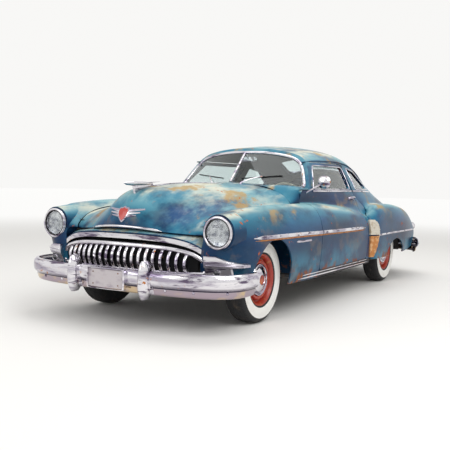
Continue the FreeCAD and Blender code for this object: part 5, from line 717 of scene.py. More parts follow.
HANDLE_X, HANDLE_Z, HANDLE_REACH = (-0.30, -0.455), 0.985, 0.034
oval = circle(12) * (0.011, 0.0065)
base, out = from_side(np.linspace(*HANDLE_X, 40), HANDLE_Z, ("door_left",))
arch = np.sin(np.linspace(0, np.pi, 40))[:, None] ** 0.4
handle = [bar(carried(base + out * (0.002 + HANDLE_REACH * arch), out, oval)),
          stud(base[4], out[4], 0.017, 0.007), stud(base[35], out[35], 0.020, 0.016)]
on_both_sides("door_handle", handle, chrome, "door")

# Bonnet trim: a bright centre strip behind the ornament, a swept lip over the grille, a bare crest
# plate on the nose, and short swept wings on the ornament.

path, out = from_above(np.linspace(0.950, 2.045, 60), 0.0, ("bonnet",))
forms = [bar(carried(path, out, half_round(0.016, 0.008), np.clip(np.linspace(0.5, 8, 60), 0, 1)))]
y = np.linspace(-0.335, 0.335, 70)
path, out = from_ahead(y, 0.776 - 0.25 * y**2, ("bonnet",), 0.0, 6)
lip_ends = np.clip(8 * (1 - np.abs(np.linspace(-1, 1, 70))), 0.35, 1)
forms.append(bar(carried(path, out, half_round(0.02, 0.011), lip_ends)))
piece("bonnet_mouldings", forms, chrome, "bonnet_lid")
enamel_red = plain_finish("enamel_red", (0.45, 0.03, 0.02), 0.25, Coat_Weight=0.5)
CREST_Z = 0.868
SHIELD = ((0.0, -1.0), (0.42, -0.62), (0.72, -0.12), (0.82, 0.42), (0.62, 0.78), (0.30, 0.72), (0.0, 0.92),
          (-0.30, 0.72), (-0.62, 0.78), (-0.82, 0.42), (-0.72, -0.12), (-0.42, -0.62))


def shield_net(scale, low, high):
    """A shield outline as a low block on the nose, drawn in towards a flat middle."""
    edge = smooth_loop(SHIELD, 60, 1) * scale
    rings = []
    for share, lift in ((1.0, low), (1.0, high * 0.7), (0.94, high), (0.5, high), (0.02, high)):
        rings.append(from_ahead(edge[:, 0] * share, CREST_Z + edge[:, 1] * share, ("bonnet",), lift, 6)[0])
    return bar(np.array(rings))


piece("crest_frame", [shield_net(0.066, -0.002, 0.007)], chrome, "bonnet_lid")
piece("crest_field", [shield_net(0.053, 0.004, 0.0095)], enamel_red, "bonnet_lid")
wing_shapes = []
for way in (1, -1):
    for low, width, tip in ((0.895, 0.030, 0.165), (0.872, 0.024, 0.140), (0.852, 0.020, 0.115)):
        y = np.linspace(0.040, tip, 24)
        path, out = from_ahead(way * y, low + 0.10 * (y - y[0]), ("bonnet",), 0.0, 4)
        wing_shapes.append(bar(carried(path, out, half_round(width, 0.007), np.linspace(1, 0.45, 24))))
piece("crest_wings", wing_shapes, chrome, "bonnet_lid")
fins = []
for way in (1, -1):
    path = flowing(((2.3, way * 0.008, 1.106), (2.22, way * 0.035, 1.11), (2.13, way * 0.07, 1.117),
                    (2.075, way * 0.088, 1.121)), 26)
    leaf = circle(12) * (0.026, 0.0035)
    fins.append(bar(carried(path, (0, 0, 1), leaf, np.sin(np.linspace(0.35, 2.9, 26)))))
piece("ornament_wings", fins, chrome, "bonnet_lid")

# Boot: a bright pull over the lock and a low moulding down the lid's middle, screwed through the sheet,
# and a rubber mat cut to the panels round the boot's floor.

OFF_SEAM = 0.0008
path, out = from_above(np.linspace(-1.75, -2.38, 60), OFF_SEAM, ("boot_lid",))
spine = bar(carried(path, out, half_round(0.016, 0.009), np.clip(np.linspace(0.4, 9, 60), 0, 1)))
lock, out = seated([(-3.0, 0.0, z) for z in (0.70, 0.735, 0.77)], AHEAD, ("boot_lid",))
pull = [stud(lock[1], out[1], 0.024, 0.010), spine]
path, out = seated(spots(-3.0, np.linspace(-0.075, 0.075, 24), 0.785), AHEAD, ("boot_lid",))
swell = np.sin(np.linspace(0.35, np.pi - 0.35, 24))
pull.append(bar(carried(path + out * (0.012 * swell)[:, None], out, oval, 0.5 + 0.7 * swell)))
piece("boot_pull", pull, chrome, "boot")
MAT_FOOT, MAT_TOP, MAT_GAP = 0.481, 0.487, 0.004
mat_x = np.concatenate([np.linspace(-1.42, -1.79, 12), np.linspace(-1.80, -2.486, 60)])
side_y = seated(spots(mat_x, 0.02, MAT_TOP), (0, 1, 0),
                ("quarter_left", "tail_panel", "rear_fender_left"), 0.0, 0)[0][:, 1]
mat_half = np.where(mat_x > -1.795, 0.620, side_y - MAT_GAP)
mat = spots(mat_x[:, None], mat_half[:, None] * (-1, 1, 1, -1), (MAT_FOOT, MAT_FOOT, MAT_TOP, MAT_TOP))
piece("boot_mat", [bar(mat)], black_rubber, "shell")

# Windscreen wipers: bright sprung arms on domed pivots that stand in the cowl, and black rubber
# blades clipped to their ends, parked low on the two halves of the glass.

WIPER_BLADE = ((-0.004, -0.005), (0.004, -0.005), (0.003, 0.003), (-0.003, 0.003))
arms, blades = [], []
for way in (1, -1):
    pivot, out = seated([(0.885, way * 0.16, 1.8)], (0, 0, -1), ("cowl",))
    arms.append(stud(pivot[0], out[0], 0.014, 0.018))
    path, out = from_ahead(np.linspace(0.10, 0.47, 20) * way, np.linspace(1.165, 1.200, 20),
                           ("fixed_glass",), 0.006)
    blades.append(bar(carried(path, out, WIPER_BLADE)))
    elbow = pivot[0] * 0.5 + path[10] * 0.5 + (0.012, 0, 0.016)
    reach = flowing((pivot[0] + (0, 0, 0.014), elbow, path[10] + out[10] * 0.008), 20)
    arms.append(bar(carried(reach, (1, 0, 0.4), oval * 0.5)))
piece("wiper_arms", arms, chrome)
piece("wiper_blades", blades, black_rubber, "shell")

# Lamps: fluted headlamp glasses over silvered bowls in stepped rims, small clear parking lamps in
# the hoods' panels, and red tail lamps on the rear wings.

lens_glass = plain_finish("lens_glass", (0.90, 0.92, 0.92), 0.04, Transmission_Weight=1.0, IOR=1.45)
silvered = worn_finish("silvered", (0.6, 0.61, 0.64), 0.22,
                       [(0.05, 0.44, 0.62, (1, 1, 0.8), 2.0, (0.24, 0.25, 0.3))], 1.0)
red_lens = plain_finish("red_lens", (0.55, 0.015, 0.01), 0.08, Coat_Weight=0.6)
smoked_lens = plain_finish("smoked_lens", (0.045, 0.045, 0.055), 0.12, Coat_Weight=0.8)
HEADLAMP = np.array([2.322, 0.800, 0.760])
BEZEL = ((0.0, 0.1218), (0.01, 0.1232), (0.016, 0.1225), (0.018, 0.119), (0.0245, 0.1165), (0.0255, 0.109),
         (0.02, 0.103), (0.015, 0.099), (0.004, 0.0975), (-0.008, 0.0975), (-0.008, 0.1218))
BOWL = ((-0.0112, 0.0), (-0.011, 0.03), (-0.0095, 0.06), (-0.006, 0.085), (-0.003, 0.097), (-0.0118, 0.097),
        (-0.0118, 0.0))


def fluted_glass(centre, radius, rise, pitch):
    """A domed lens: a paraboloid outside, and inside the same less its thickness, with upright flutes
    as a cosine of the way across, which fade towards the rim."""
    out = np.linspace(0, 1, 26)[None]
    angle = np.linspace(0, 2 * np.pi, 96, endpoint=False)[:, None]
    y, z = np.cos(angle) * out * radius, np.sin(angle) * out * radius
    dome = rise * (1 - out**2) + 0 * angle
    flute = 0.0009 * np.cos(y * 2 * np.pi / pitch) * (1 - out**6)
    front, back = spots(dome + 0.004 + flute, y, z), spots(dome, y, z)
    return grid(np.concatenate([front, back[:, ::-1]], 1) + centre, around=True)


TAIL_LAMP = np.array([-2.440, 0.862, 0.612])
PARKING_LAMP = np.array([2.3343, 0.795, 0.468])
GASKET = ((0.010, 0.0975), (0.0205, 0.0985), (0.0225, 0.1030), (0.0215, 0.1050), (0.010, 0.1050))
PARKING_RIM = ((-0.002, 0.0262), (0.004, 0.0262), (0.006, 0.0235), (0.004, 0.0205), (-0.002, 0.0205))
TAIL_RIM = ((0.020, 0.0485), (0.030, 0.0500), (0.035, 0.0475), (0.033, 0.0430), (0.020, 0.0430))
TAIL_RADIUS = 0.0425
quarter_turn = np.linspace(0, np.pi / 2, 20)
tail_dome = np.stack([np.sin(quarter_turn) * 0.030 + 0.0006 * np.cos(quarter_turn * 40),
                      np.cos(quarter_turn) * TAIL_RADIUS], 1)
tail_dome = np.concatenate([[(-0.004, 0), (-0.004, TAIL_RADIUS)], tail_dome[:-1], [(0.0306, 0)]])
rib_ends = np.clip(np.linspace(0.4, 12, 50), 0, 1)
for side, flip in SIDES:
    head, tail, parking = flip(HEADLAMP), flip(TAIL_LAMP), flip(PARKING_LAMP)
    piece(f"headlamp_rim_{side}", [hoop(turned(BEZEL, head, AHEAD, 96))], chrome, crease=25)
    piece(f"headlamp_bowl_{side}", [bead(BOWL, head, AHEAD, 96)], silvered)
    piece(f"headlamp_gasket_{side}", [hoop(turned(GASKET, head, AHEAD, 96))], black_rubber, "shell")
    lens = fluted_glass(head + (-0.002, 0, 0), 0.0968, 0.022, 0.0095)
    glass = piece(f"headlamp_glass_{side}", [lens], lens_glass, "shell")
    if side == "left":
        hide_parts("lamp_lenses")
    piece(f"parking_rim_{side}", [hoop(turned(PARKING_RIM, parking, AHEAD, 48))], chrome)
    bulb_glass = stud(parking + (0.002, 0, 0), AHEAD, 0.0208, 0.010, 40)
    piece(f"parking_lens_{side}", [bulb_glass], smoked_lens, "shell")
    ribs = []
    for height in (0.522, 0.545):
        path, out = from_ahead(np.linspace(0.715, 0.945, 50), height, ("lamp_housings",), 0.0, 6)
        ribs.append(bar(flip(carried(path, out, half_round(0.009, 0.0045), rib_ends))))
    piece(f"hood_ribs_{side}", ribs, chrome)
    piece(f"tail_lens_{side}", [bead(tail_dome, tail + (-0.030, 0, 0), BACK)], red_lens, "shell")
    piece(f"tail_rim_{side}", [hoop(turned(TAIL_RIM, tail, BACK))], chrome)

# Bumper fittings: domed bolts through the lower apron, and a plain enamelled plate in a pressed
# frame at each end, bare of any number.

plate_enamel = worn_finish("plate_enamel", (0.52, 0.48, 0.5), 0.4,
                           [(0.06, 0.5, 0.7, (2, 2, 1), (0.34, 0.29, 0.34)),
                            (0.02, 0.66, 0.72, (0.5, 0.1, 0.04))], 0.3)
BOLT_Y, BOLT_Z = (-0.93, -0.72, -0.50, 0.50, 0.72, 0.93), 0.338
for name, end in (("front", 1), ("rear", -1)):
    path, out = seated(spots(2.9 * end, BOLT_Y, BOLT_Z), (-end, 0, 0), (f"{name}_bumper",), 0.0, 0)
    piece(f"{name}_bumper_bolts", [stud(spot, side, 0.011, 0.007) for spot, side in zip(path, out)], chrome)


def rounded_box(centre, half, corner, depth, steps):
    """An upright plate facing along the car: an outline with rounded corners, in rings whose steps say
    how large each ring is and what share of the depth it stands forward."""
    angle = np.linspace(0, 2 * np.pi, 64, endpoint=False)
    y = np.clip(np.cos(angle) * 1.6, -1, 1) * (half[0] - corner) + np.cos(angle) * corner
    z = np.clip(np.sin(angle) * 1.6, -1, 1) * (half[1] - corner) + np.sin(angle) * corner
    return np.array([spots(depth * rise, y * share, z * share) for share, rise in steps]) + centre


PLATE_X, PLATE_Z, PLATE_DEPTH = 2.606, 0.392, 0.016
FRAME_STEPS = ((1.0, -0.2), (1.0, 0.8), (0.975, 1.0), (0.93, 1.0), (0.92, 0.5), (0.92, -0.2))
PLATE_STEPS = ((1.0, -0.2), (1.0, 0.9), (0.985, 1.0), (0.5, 1.0), (0.02, 1.0))
SCREWS = [(y, PLATE_Z + z) for y in (-0.12, 0.12) for z in (-0.045, 0.045)]
for name, way in (("front", 1), ("rear", -1)):
    middle = (PLATE_X * way, 0, PLATE_Z)
    frame_rings = rounded_box(middle, (0.182, 0.082), 0.018, 0.024 * way, FRAME_STEPS)
    plate_rings = rounded_box(middle, (0.168, 0.068), 0.010, PLATE_DEPTH * way, PLATE_STEPS)
    piece(f"{name}_plate_frame", [hoop(frame_rings)], chrome)
    piece(f"{name}_plate", [bar(plate_rings)], plate_enamel)
    screws = [stud(((PLATE_X + PLATE_DEPTH) * way, y, z), (way, 0, 0), 0.006, 0.003, 12) for y, z in SCREWS]
    piece(f"{name}_plate_screws", screws, rusted_steel, "shell")

# Engine bay: an enamelled valve cover and a black air cleaner bolted on the block, a pressed fan on its
# front, a rubber hose to the radiator, and black sheet aprons welded in beside the wheels.

engine_enamel = worn_finish("engine_enamel", (0.035, 0.085, 0.075), 0.42,
                            [(0.1, 0.5, 0.7, (0.12, 0.075, 0.045))], 0.1)
cleaner_black = plain_finish("cleaner_black", (0.012, 0.012, 0.013), 0.35)
COVER_X = 1.425
COVER_STEPS = ((1.05, 0.876), (1.05, 0.89), (1.0, 0.892), (0.97, 0.915), (0.9, 0.925), (0.5, 0.928),
               (0.02, 0.928))
cover_edge = smooth_loop(((1.06, 0.10), (1.79, 0.10), (1.79, -0.10), (1.06, -0.10)), 96, 3) - (COVER_X, 0)
cover = np.array([spots(COVER_X + cover_edge[:, 0] * share, cover_edge[:, 1] * share, height)
                  for share, height in COVER_STEPS])
cover_nuts = [stud((x, 0.0, 0.926), (0, 0, 1), 0.011, 0.010, 12) for x in (1.14, 1.71)]
piece("valve_cover", [bar(cover), *cover_nuts], engine_enamel, "shell")
CLEANER = ((0.0, 0.0), (0.0, 0.055), (0.016, 0.055), (0.018, 0.118), (0.024, 0.125), (0.050, 0.125),
           (0.058, 0.118), (0.062, 0.030), (0.070, 0.012), (0.078, 0.0))
piece("air_cleaner", [bead(CLEANER, (1.42, 0.0, 0.922), (0, 0, 1))], cleaner_black, "shell")
FAN_HUB = ((0.0, 0.0), (0.0, 0.055), (0.012, 0.055), (0.016, 0.046), (0.020, 0.055), (0.032, 0.055),
           (0.036, 0.030), (0.060, 0.028), (0.062, 0.0))
BLADE = ((-0.034, -0.001), (0.034, -0.001), (0.034, 0.001), (-0.034, 0.001))
fan_middle = np.array([1.845, 0.0, 0.640])
fan = [bead(FAN_HUB, fan_middle, AHEAD, 40)]
for turn_by in np.radians((20, 110, 200, 290)):
    spoke = np.array([0.0, math.cos(turn_by), math.sin(turn_by)])
    reach = fan_middle + (0.050, 0, 0) + np.linspace(0.024, 0.185, 12)[:, None] * spoke
    lean = AHEAD + 0.45 * np.cross(spoke, AHEAD)
    fan.append(bar(carried(reach, lean, BLADE, np.linspace(0.7, 1.0, 12))))
piece("fan", fan, cleaner_black, "shell")
HOSE_ROUTE = ((1.80, 0.075, 0.870), (1.86, 0.080, 0.865), (1.95, 0.095, 0.842), (2.04, 0.11, 0.815),
              (2.105, 0.115, 0.805))
hose = bar(carried(flowing(HOSE_ROUTE, 30), (0, 1, 0), circle(16) * 0.022))
piece("radiator_hose", [hose], black_rubber, "shell")
APRON_INNER, SHEET = 0.462, 0.0015
apron_x = np.linspace(0.945, 2.215, 60)
wing_side = seated(spots(apron_x, 0.30, 0.800), (0, 1, 0), ("front_fender_left",))[0][:, 1]
wing_side = smooth_rows(wing_side[:, None], 6)[:, 0]
apron_share = flowing(((0.0, 0.505), (0.01, 0.62), (0.05, 0.715), (0.2, 0.765), (0.52, 0.79), (1.0, 0.8)), 24)
apron_y = APRON_INNER + (wing_side[:, None] - APRON_INNER) * apron_share[None, :, 0]
apron = spots(apron_x[:, None], apron_y, apron_share[None, :, 1])
apron = np.concatenate([apron, (apron + (0, -SHEET, SHEET))[:, ::-1]], 1)
BAFFLE_X, BAFFLE_INNER = 2.2145, 0.292
baffle_z = np.linspace(0.445, 0.720, 24)
baffle_y = seated(spots(BAFFLE_X + 0.0005, 0.5, baffle_z), (0, 1, 0),
                  ("front_fender_left", "lamp_housings"))[0]
baffle_y = baffle_y[:, 1, None] - 0.002
baffle_y = np.where((False, True, True, False), baffle_y, BAFFLE_INNER)
baffle = spots((BAFFLE_X, BAFFLE_X, BAFFLE_X + SHEET, BAFFLE_X + SHEET), baffle_y, baffle_z[:, None])
on_both_sides("wheel_apron", [bar(apron), bar(baffle)], chassis_black, "shell")

# Cabin lining: dull cloth stretched under the roof and over the pillars, doors trimmed in teal cloth
# below the windows, each with a bright crank, a handle and a padded armrest screwed on.

roof_cloth = plain_finish("roof_cloth", (0.16, 0.155, 0.15), 0.9)
door_cloth = worn_finish("door_cloth", (0.07, 0.18, 0.19), 0.85, [(0.12, 0.5, 0.75, (0.11, 0.2, 0.19))],
                         Sheen_Weight=0.2)
lined("roof", lambda middle, side: (side[:, 2] < -0.1) & (np.abs(middle[:, 1]) < 0.69)
      & (middle[:, 0] < 0.53), roof_cloth)
for way, side_name in ((1, "left"), (-1, "right")):
    lined(f"quarter_{side_name}", lambda middle, side: (side[:, 1] * way < -0.5) & (middle[:, 0] > -1.6),
          roof_cloth)
    lined(f"door_{side_name}", lambda middle, side: (side[:, 1] * way < -0.8) & (middle[:, 2] < 1.04),
          door_cloth)
CARD_REAR, CARD_FRONT, CARD_FOOT, CARD_TOP, PLEATS_TOP = -0.44, 0.70, 0.46, 0.98, 0.80
PLEAT_PITCH, EDGE_WIDTH = 0.075, 0.02
card_x, card_z = np.meshgrid(np.linspace(CARD_REAR, CARD_FRONT, 90), np.linspace(CARD_FOOT, CARD_TOP, 40))
inner, out = seated(spots(card_x, 0.0, card_z).reshape(-1, 3), (0, 1, 0), ("door_left",), 0.0, 0)
inner[:, 1] = np.minimum(inner[:, 1], np.percentile(inner[:, 1], 70))
card = inner.reshape(*card_x.shape, 3)
pleat = np.abs(np.sin(card_x * np.pi / PLEAT_PITCH)) ** 0.5 * (card_z < PLEATS_TOP)
edge_fall = np.clip(np.minimum(card_x - CARD_REAR, CARD_FRONT - card_x) / EDGE_WIDTH, 0, 1) ** 0.5
padding = (0.003 + 0.006 * pleat + 0.004 * (card_z >= PLEATS_TOP)) * edge_fall
door_card = sheet(card - spots(0.0, padding, 0.0), card + (0, 0.002, 0))
card_y = float(np.median(card[..., 1]))
REST_OUTLINE = ((-0.032, -0.022), (0.032, -0.022), (0.032, 0.022), (-0.032, 0.022))
rest_size = np.clip(np.sin(np.linspace(0.3, np.pi - 0.3, 24)) * 1.6, 0.3, 1)
armrest = carried(spots(np.linspace(-0.34, 0.02, 24), card_y - 0.022, 0.735), (0, 0, 1),
                  smooth_loop(REST_OUTLINE, 24, 2), rest_size)
INWARD = (0, -1, 0)
rod = circle(10)
crank_foot = np.array([0.36, card_y, 0.70])
crank_knob = crank_foot + (-0.09, -0.024, -0.045)
crank_arm = flowing((crank_foot + (0, -0.014, 0), crank_foot + (-0.05, -0.024, -0.025),
                     crank_foot + (-0.09, -0.026, -0.045)), 12)
pull_foot = np.array([0.10, card_y, 0.86])
door_pull = pull_foot + ((0, -0.014, 0), (-0.04, -0.020, 0), (-0.10, -0.022, -0.002))
crank = [stud(crank_foot, INWARD, 0.020, 0.016), bar(carried(crank_arm, INWARD, rod * 0.005)),
         stud(crank_knob, INWARD, 0.010, 0.024), stud(pull_foot, INWARD, 0.018, 0.012),
         bar(carried(door_pull, INWARD, rod * 0.006))]
on_both_sides("door_card", [door_card, bar(armrest)], door_cloth, "door")
on_both_sides("window_crank", crank, chrome, "door")

# Dashboard and steering: painted steel dash with a bright band, round dials behind rims and a row of
# knobs, and a cream plastic wheel with a bright horn ring and a column lever.

dash_paint = worn_finish("dash_paint", (0.012, 0.045, 0.1), 0.3, [(0.2, 0.5, 0.7, (0.03, 0.1, 0.16))],
                         Coat_Weight=0.3)
dressed(("dashboard",), dash_paint)
rim_plastic = worn_finish("rim_plastic", (0.62, 0.56, 0.42), 0.3, [(0.08, 0.5, 0.7, (0.46, 0.37, 0.24))],
                          Coat_Weight=0.3)
dressed(("steering_wheel",), rim_plastic)
dial_face = plain_finish("dial_face", (0.05, 0.055, 0.06), 0.5)
dial_mark = plain_finish("dial_mark", (0.75, 0.72, 0.60), 0.5)
bright, faces, marks = [], [], []
DRIVER_X = 0.30
KNOB = ((-0.004, 0), (-0.004, 0.006), (0.012, 0.005), (0.014, 0.011), (0.022, 0.011), (0.024, 0))
TICK = ((-0.001, -0.001), (0.001, -0.001), (0.001, 0.0006), (-0.001, 0.0006))
for (y, z, radius) in ((0.37, 1.035, 0.058), (0.18, 1.03, 0.04), (-0.02, 1.03, 0.04), (-0.4, 1.03, 0.05)):
    spot, out = seated([(DRIVER_X, y, z)], AHEAD, ("dashboard",))
    dial_rim = ((-0.004, radius), (0.008, radius), (0.012, radius * 0.94), (0.006, radius * 0.87),
                (-0.004, radius * 0.87))
    dial = ((-0.003, 0), (-0.003, radius * 0.88), (0.003, radius * 0.88), (0.003, 0))
    bright.append(hoop(turned(dial_rim, spot[0], out[0], 48)))
    faces.append(bead(dial, spot[0], out[0], 48))
    aside = np.cross(out[0], (0, 1, 0))
    for turn_by in np.radians(np.arange(-120, 121, 30)):
        way = aside * np.cos(turn_by) + np.array([0, 1, 0]) * np.sin(turn_by)
        reach = np.array([spot[0] + out[0] * 0.003 + way * radius * share for share in (0.66, 0.73, 0.80)])
        marks.append(bar(carried(reach, out[0], TICK)))
for y in (0.10, 0.02, -0.06, -0.14, -0.22):
    spot, out = seated([(DRIVER_X, y, 0.955)], AHEAD, ("dashboard",))
    bright.append(bead(KNOB, spot[0], out[0], 24))
y = np.linspace(0.66, -0.66, 80)
path, out = seated(spots(DRIVER_X, y, 0.985), AHEAD, ("dashboard",), 0.0, 8)
for run in (y > 0.42, y < 0.32):
    bright.append(bar(carried(path[run], out[run], half_round(0.014, 0.005))))
piece("dash_brightwork", bright, chrome)
piece("dial_faces", faces, dial_face, "shell")
piece("dial_marks", marks, dial_mark, "shell")
column_slope = math.radians(21)
toward_driver = np.array([-math.cos(column_slope), 0, math.sin(column_slope)])
wheel_middle = np.array([0.320, 0.370, 0.925]) + toward_driver * 0.034
HORN_RADIUS, HORN_ROD, HORN_RISE = 0.125, 0.0035, 0.012
HUB_DOME = ((0.0, 0), (0.0, 0.030), (0.020, 0.028), (0.030, 0.018), (0.034, 0))
horn_middle = wheel_middle + toward_driver * HORN_RISE
wheel_up = np.cross((0, 1, 0), toward_driver)
horn_ring = horn_middle + HORN_RADIUS * circle(72) @ np.array([(0, 1, 0), wheel_up])
horn = [hoop(carried(horn_ring, toward_driver, rod * HORN_ROD, loop=True)),
        bead(HUB_DOME, wheel_middle, toward_driver, 40)]
for way in (1, -1):
    leg = horn_middle + [(0, way * reach, 0) for reach in (0.02, 0.07, HORN_RADIUS)]
    horn.append(bar(carried(leg, toward_driver, rod * HORN_ROD)))
piece("horn_ring", horn, chrome, "steering")
lever = flowing(((0.372, 0.350, 0.925), (0.350, 0.270, 0.945), (0.335, 0.185, 0.960)), 14)
LEVER_KNOB = ((-0.012, 0), (-0.008, 0.009), (0.004, 0.011), (0.014, 0.008), (0.018, 0))
lever_forms = [bar(carried(lever, (0, 0, 1), rod * 0.005)), bead(LEVER_KNOB, lever[-1], (0, -1, 0.1), 20)]
piece("shift_lever", lever_forms, rim_plastic, "shell")

# Small glass inside and out: a mirror hung from the windscreen header on a bright stem, and the round
# silvered glass in the door mirror.

roof_spot, _ = seated([(0.47, 0.0, 1.20)], (0, 0, 1), ("roof",))
mirror_middle = roof_spot[0] - (0.02, 0, 0.075)
stem = flowing((roof_spot[0] + (0, 0, 0.004), roof_spot[0] - (-0.004, 0, 0.035),
                mirror_middle + (0.01, 0, 0.0)), 12)
oblong = smooth_loop(((-0.095, -0.026), (0.095, -0.026), (0.095, 0.026), (-0.095, 0.026)), 48, 3)
MIRROR_STEPS = ((0.010, 0.02), (0.010, 0.9), (-0.004, 1.0), (-0.006, 0.96), (-0.005, 0.02))
mirror_rings = np.array([spots(depth, *(oblong * share).T) for depth, share in MIRROR_STEPS]) + mirror_middle
piece("cabin_mirror", [bar(mirror_rings), bar(carried(stem, (0, 1, 0), rod * 0.005))], chrome)
spot, _ = seated([(0.40, 0.906, 1.149)], AHEAD, ("door_mirror",))
piece("mirror_glass", [stud(spot[0], BACK, 0.05, 0.003, 48)], silvered, "left_door")

# Benches: coil-sprung cushions and backs in teal cloth over a dark steel plinth, piped along their
# edges, with sewn upright channels.

seat_cloth = worn_finish("seat_cloth", (0.045, 0.17, 0.17), 0.8,
                         [(0.16, 0.46, 0.7, (0.1, 0.25, 0.23)),
                          (0.05, 0.62, 0.72, (1, 1, 1), 5.0, (0.3, 0.26, 0.18))], Sheen_Weight=0.3)
cloth_place = wired(seat_cloth, "ShaderNodeTexCoord").outputs["Object"]
weave = wired(seat_cloth, "ShaderNodeTexNoise", cloth_place, None, 420.0, 2.0)
pitted(seat_cloth, weave.outputs[0], 0.0004)


def pad_form(middle, along, up, half_size, rows=32, columns=64):
    """A pad's starting form, in its own directions: a ball whose sines and cosines are each raised to a
    power near a third, which squares it off into a rounded box."""
    across = np.array([0.0, 1.0, 0.0])
    tilt = np.linspace(-np.pi / 2, np.pi / 2, rows)[:, None]
    turn_round = np.linspace(0, 2 * np.pi, columns, endpoint=False)[None]

    def squared(value):
        """A value's own power of 0.34, with its sign kept."""
        return np.sign(value) * np.abs(value) ** 0.34

    first = squared(np.cos(tilt)) * squared(np.cos(turn_round)) * half_size[0]
    second = squared(np.cos(tilt)) * squared(np.sin(turn_round)) * half_size[1]
    third = squared(np.sin(tilt)) * half_size[2] + 0 * turn_round
    return middle + first[..., None] * along + second[..., None] * across + third[..., None] * up


def swollen(pad, cap):
    """Remeshes the pad evenly, blows it up as cloth under pressure, and keeps each point within the cap
    of where it was."""
    remesh = pad.modifiers.new("even", "REMESH")
    remesh.mode = "VOXEL"
    remesh.voxel_size = 0.013
    pad.data = solved(pad)
    pad.modifiers.clear()
    before = np.empty(len(pad.data.vertices) * 3, np.float32)
    pad.data.vertices.foreach_get("co", before)
    cloth = pad.modifiers.new("cloth", "CLOTH")
    cloth.settings.use_pressure = True
    cloth.settings.uniform_pressure_force = 4.0
    cloth.settings.effector_weights.gravity = 0.0
    cloth.settings.quality = 4
    for moment in range(1, 21):
        bpy.context.scene.frame_set(moment)
    after = solved(pad)
    pad.modifiers.clear()
    moved = np.empty(len(after.vertices) * 3, np.float32)
    after.vertices.foreach_get("co", moved)
    shift = (moved - before).reshape(-1, 3)
    length = np.linalg.norm(shift, axis=1, keepdims=True)
    shift *= np.minimum(1, cap / np.maximum(length, 1e-9))
    pad.data.vertices.foreach_set("co", (before.reshape(-1, 3) + shift).ravel())
    bpy.context.scene.frame_set(1)


def solved(thing):
    """The mesh that a piece has once its modifiers have run."""
    return bpy.data.meshes.new_from_object(thing.evaluated_get(bpy.context.evaluated_depsgraph_get()))


CHANNEL_WIDTH, CHANNEL_DEPTH = 0.102, 0.009
SEAT_SLOPE, BACK_SLOPE = (0.992, 0, 0.122), (-0.296, 0, 0.955)
PADS = (("front_cushion", (-0.045, 0, 0.490), SEAT_SLOPE, (0.215, 0.610, 0.080)),
        ("front_back", (-0.296, 0, 0.775), BACK_SLOPE, (0.190, 0.610, 0.045)),
        ("rear_cushion", (-0.865, 0, 0.490), SEAT_SLOPE, (0.160, 0.603, 0.080)),
        ("rear_back", (-1.065, 0, 0.775), BACK_SLOPE, (0.190, 0.603, 0.045)))
for name, middle, along, half_size in PADS:
    along = np.array(along) / np.linalg.norm(along)
    up = np.array([-along[2], 0, along[0]]) * (-1 if along[0] < 0 else 1)
    pad = piece(name, [bar(pad_form(np.array(middle), along, up, half_size))],
                seat_cloth, "shell", 180, 0.002)
    swollen(pad, 0.024)
    soften = pad.modifiers.new("round", "SUBSURF")
    soften.levels = soften.render_levels = 1
    pad.data = solved(pad)
    pad.modifiers.clear()
    place = np.empty(len(pad.data.vertices) * 3, np.float32)
    pad.data.vertices.foreach_get("co", place)
    place = place.reshape(-1, 3)
    level = (place - np.array(middle)) @ up
    channel = np.abs(np.sin(place[:, 1] * np.pi / CHANNEL_WIDTH)) ** 0.35
    place -= up * (CHANNEL_DEPTH * (1 - channel) * np.clip(level / half_size[2], 0, 1))[:, None]
    pad.data.vertices.foreach_set("co", place.ravel())
    pad.data.materials.clear()
    pad.data.materials.append(seat_cloth)
    pad.data.polygons.foreach_set("use_smooth", np.ones(len(pad.data.polygons), bool))
    if name == "front_cushion":
        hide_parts("seats")
plinths = []
for front, rear, half in ((0.155, -0.285, 0.600), (-0.715, -0.745, 0.590)):
    corners = smooth_loop(((front, half), (rear, half), (rear, -half), (front, -half)), 80, 2)
    plinths.append(bar(np.array([spots(*corners.T, height) for height in (0.3125, 0.42)])))
piece("seat_plinths", plinths, floor_black, "shell")

# Stage: a plain pale floor that ends in a pale haze, three square soft lamps and an even studio light.
# The camera stands where the picture's eye does.

pale_floor = plain_finish("pale_floor", (0.86, 0.85, 0.83), 0.9, Specular_IOR_Level=0.1)
reach = wired(pale_floor, "ShaderNodeVectorMath", wired(pale_floor, "ShaderNodeTexCoord").outputs["Object"],
              operation="LENGTH")
far_off = stepped(pale_floor, reach.outputs["Value"], 6.0, 16.0)
coloured(pale_floor, [(far_off, (0.0, 0.0, 0.0))])
WARM_WHITE = (1.0, 0.995, 0.98, 1)
pale_floor.node_tree.nodes["Principled BSDF"].inputs["Emission Color"].default_value = WARM_WHITE
layered(pale_floor, "Emission Strength", [(far_off, 0.94)])
FLOOR_HALF = 60.0
floor_mesh = bpy.data.meshes.new("studio_floor")
floor_corners = [(x * FLOOR_HALF, y * FLOOR_HALF, 0) for x, y in ((-1, -1), (1, -1), (1, 1), (-1, 1))]
floor_mesh.from_pydata(floor_corners, [], [(0, 1, 2, 3)])
floor_mesh.materials.append(pale_floor)
studio_floor = bpy.data.objects.new("studio_floor", floor_mesh)
bpy.context.scene.collection.objects.link(studio_floor)


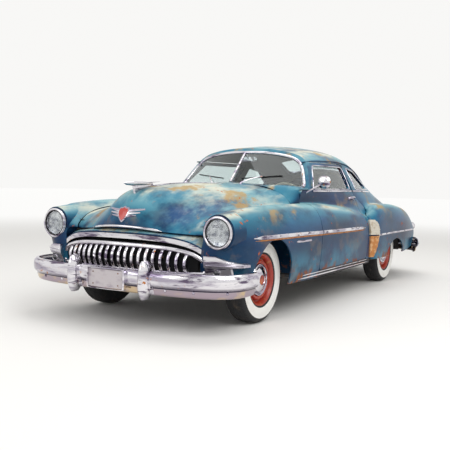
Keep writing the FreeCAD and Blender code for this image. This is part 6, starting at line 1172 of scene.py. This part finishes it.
def soft_lamp(name, place, aim, size, power):
    """A square soft lamp at a place, its minus z axis turned at its aim."""
    light = bpy.data.lights.new(name, "AREA")
    light.size = size
    light.energy = power
    lamp = bpy.data.objects.new(name, light)
    lamp.location = place
    lamp.rotation_euler = (Vector(aim) - Vector(place)).to_track_quat("-Z", "Y").to_euler()
    bpy.context.scene.collection.objects.link(lamp)


soft_lamp("key", (4.5, 6.0, 6.5), (0, 0, 0.6), 5.0, 300)
soft_lamp("front", (8.5, -3.5, 4.0), (1, 0, 0.6), 4.0, 90)
soft_lamp("top", (-1.0, 0.5, 7.5), (0, 0, 0.8), 6.0, 160)
world = bpy.data.worlds.new("studio")
bpy.context.scene.world = world
world.use_nodes = True
background = world.node_tree.nodes["Background"]
rays = wired(world, "ShaderNodeLightPath").outputs
shown = rays["Is Camera Ray"]
for kind in ("Is Glossy Ray", "Is Transmission Ray"):
    shown = wired(world, "ShaderNodeMath", shown, rays[kind], operation="MAXIMUM").outputs[0]
LIGHT, BACKDROP = 0.72, 0.94
strength = wired(world, "ShaderNodeMapRange", shown, 0.0, 1.0, LIGHT, BACKDROP).outputs[0]
world.node_tree.links.new(strength, background.inputs["Strength"])
background.inputs["Color"].default_value = WARM_WHITE

bpy.context.scene.view_settings.view_transform = "Standard"
eye = Vector((6.53, 3.35, 1.12))
turn, dip, roll = math.radians(210.7), math.radians(-3.5), math.radians(1.2)
forward = Vector((math.cos(dip) * math.cos(turn), math.cos(dip) * math.sin(turn), math.sin(dip)))
level = forward.cross(Vector((0, 0, 1))).normalized()
over = level.cross(forward)
right = level * math.cos(roll) + over * math.sin(roll)
top = over * math.cos(roll) - level * math.sin(roll)
view = bpy.data.cameras.new("view")
view.sensor_width = 36.0
view.lens = 54.72
camera = bpy.data.objects.new("view", view)
camera.matrix_world = Matrix((
    (right.x, top.x, -forward.x, eye.x), (right.y, top.y, -forward.y, eye.y),
    (right.z, top.z, -forward.z, eye.z), (0, 0, 0, 1)))
bpy.context.scene.collection.objects.link(camera)
bpy.context.scene.camera = camera
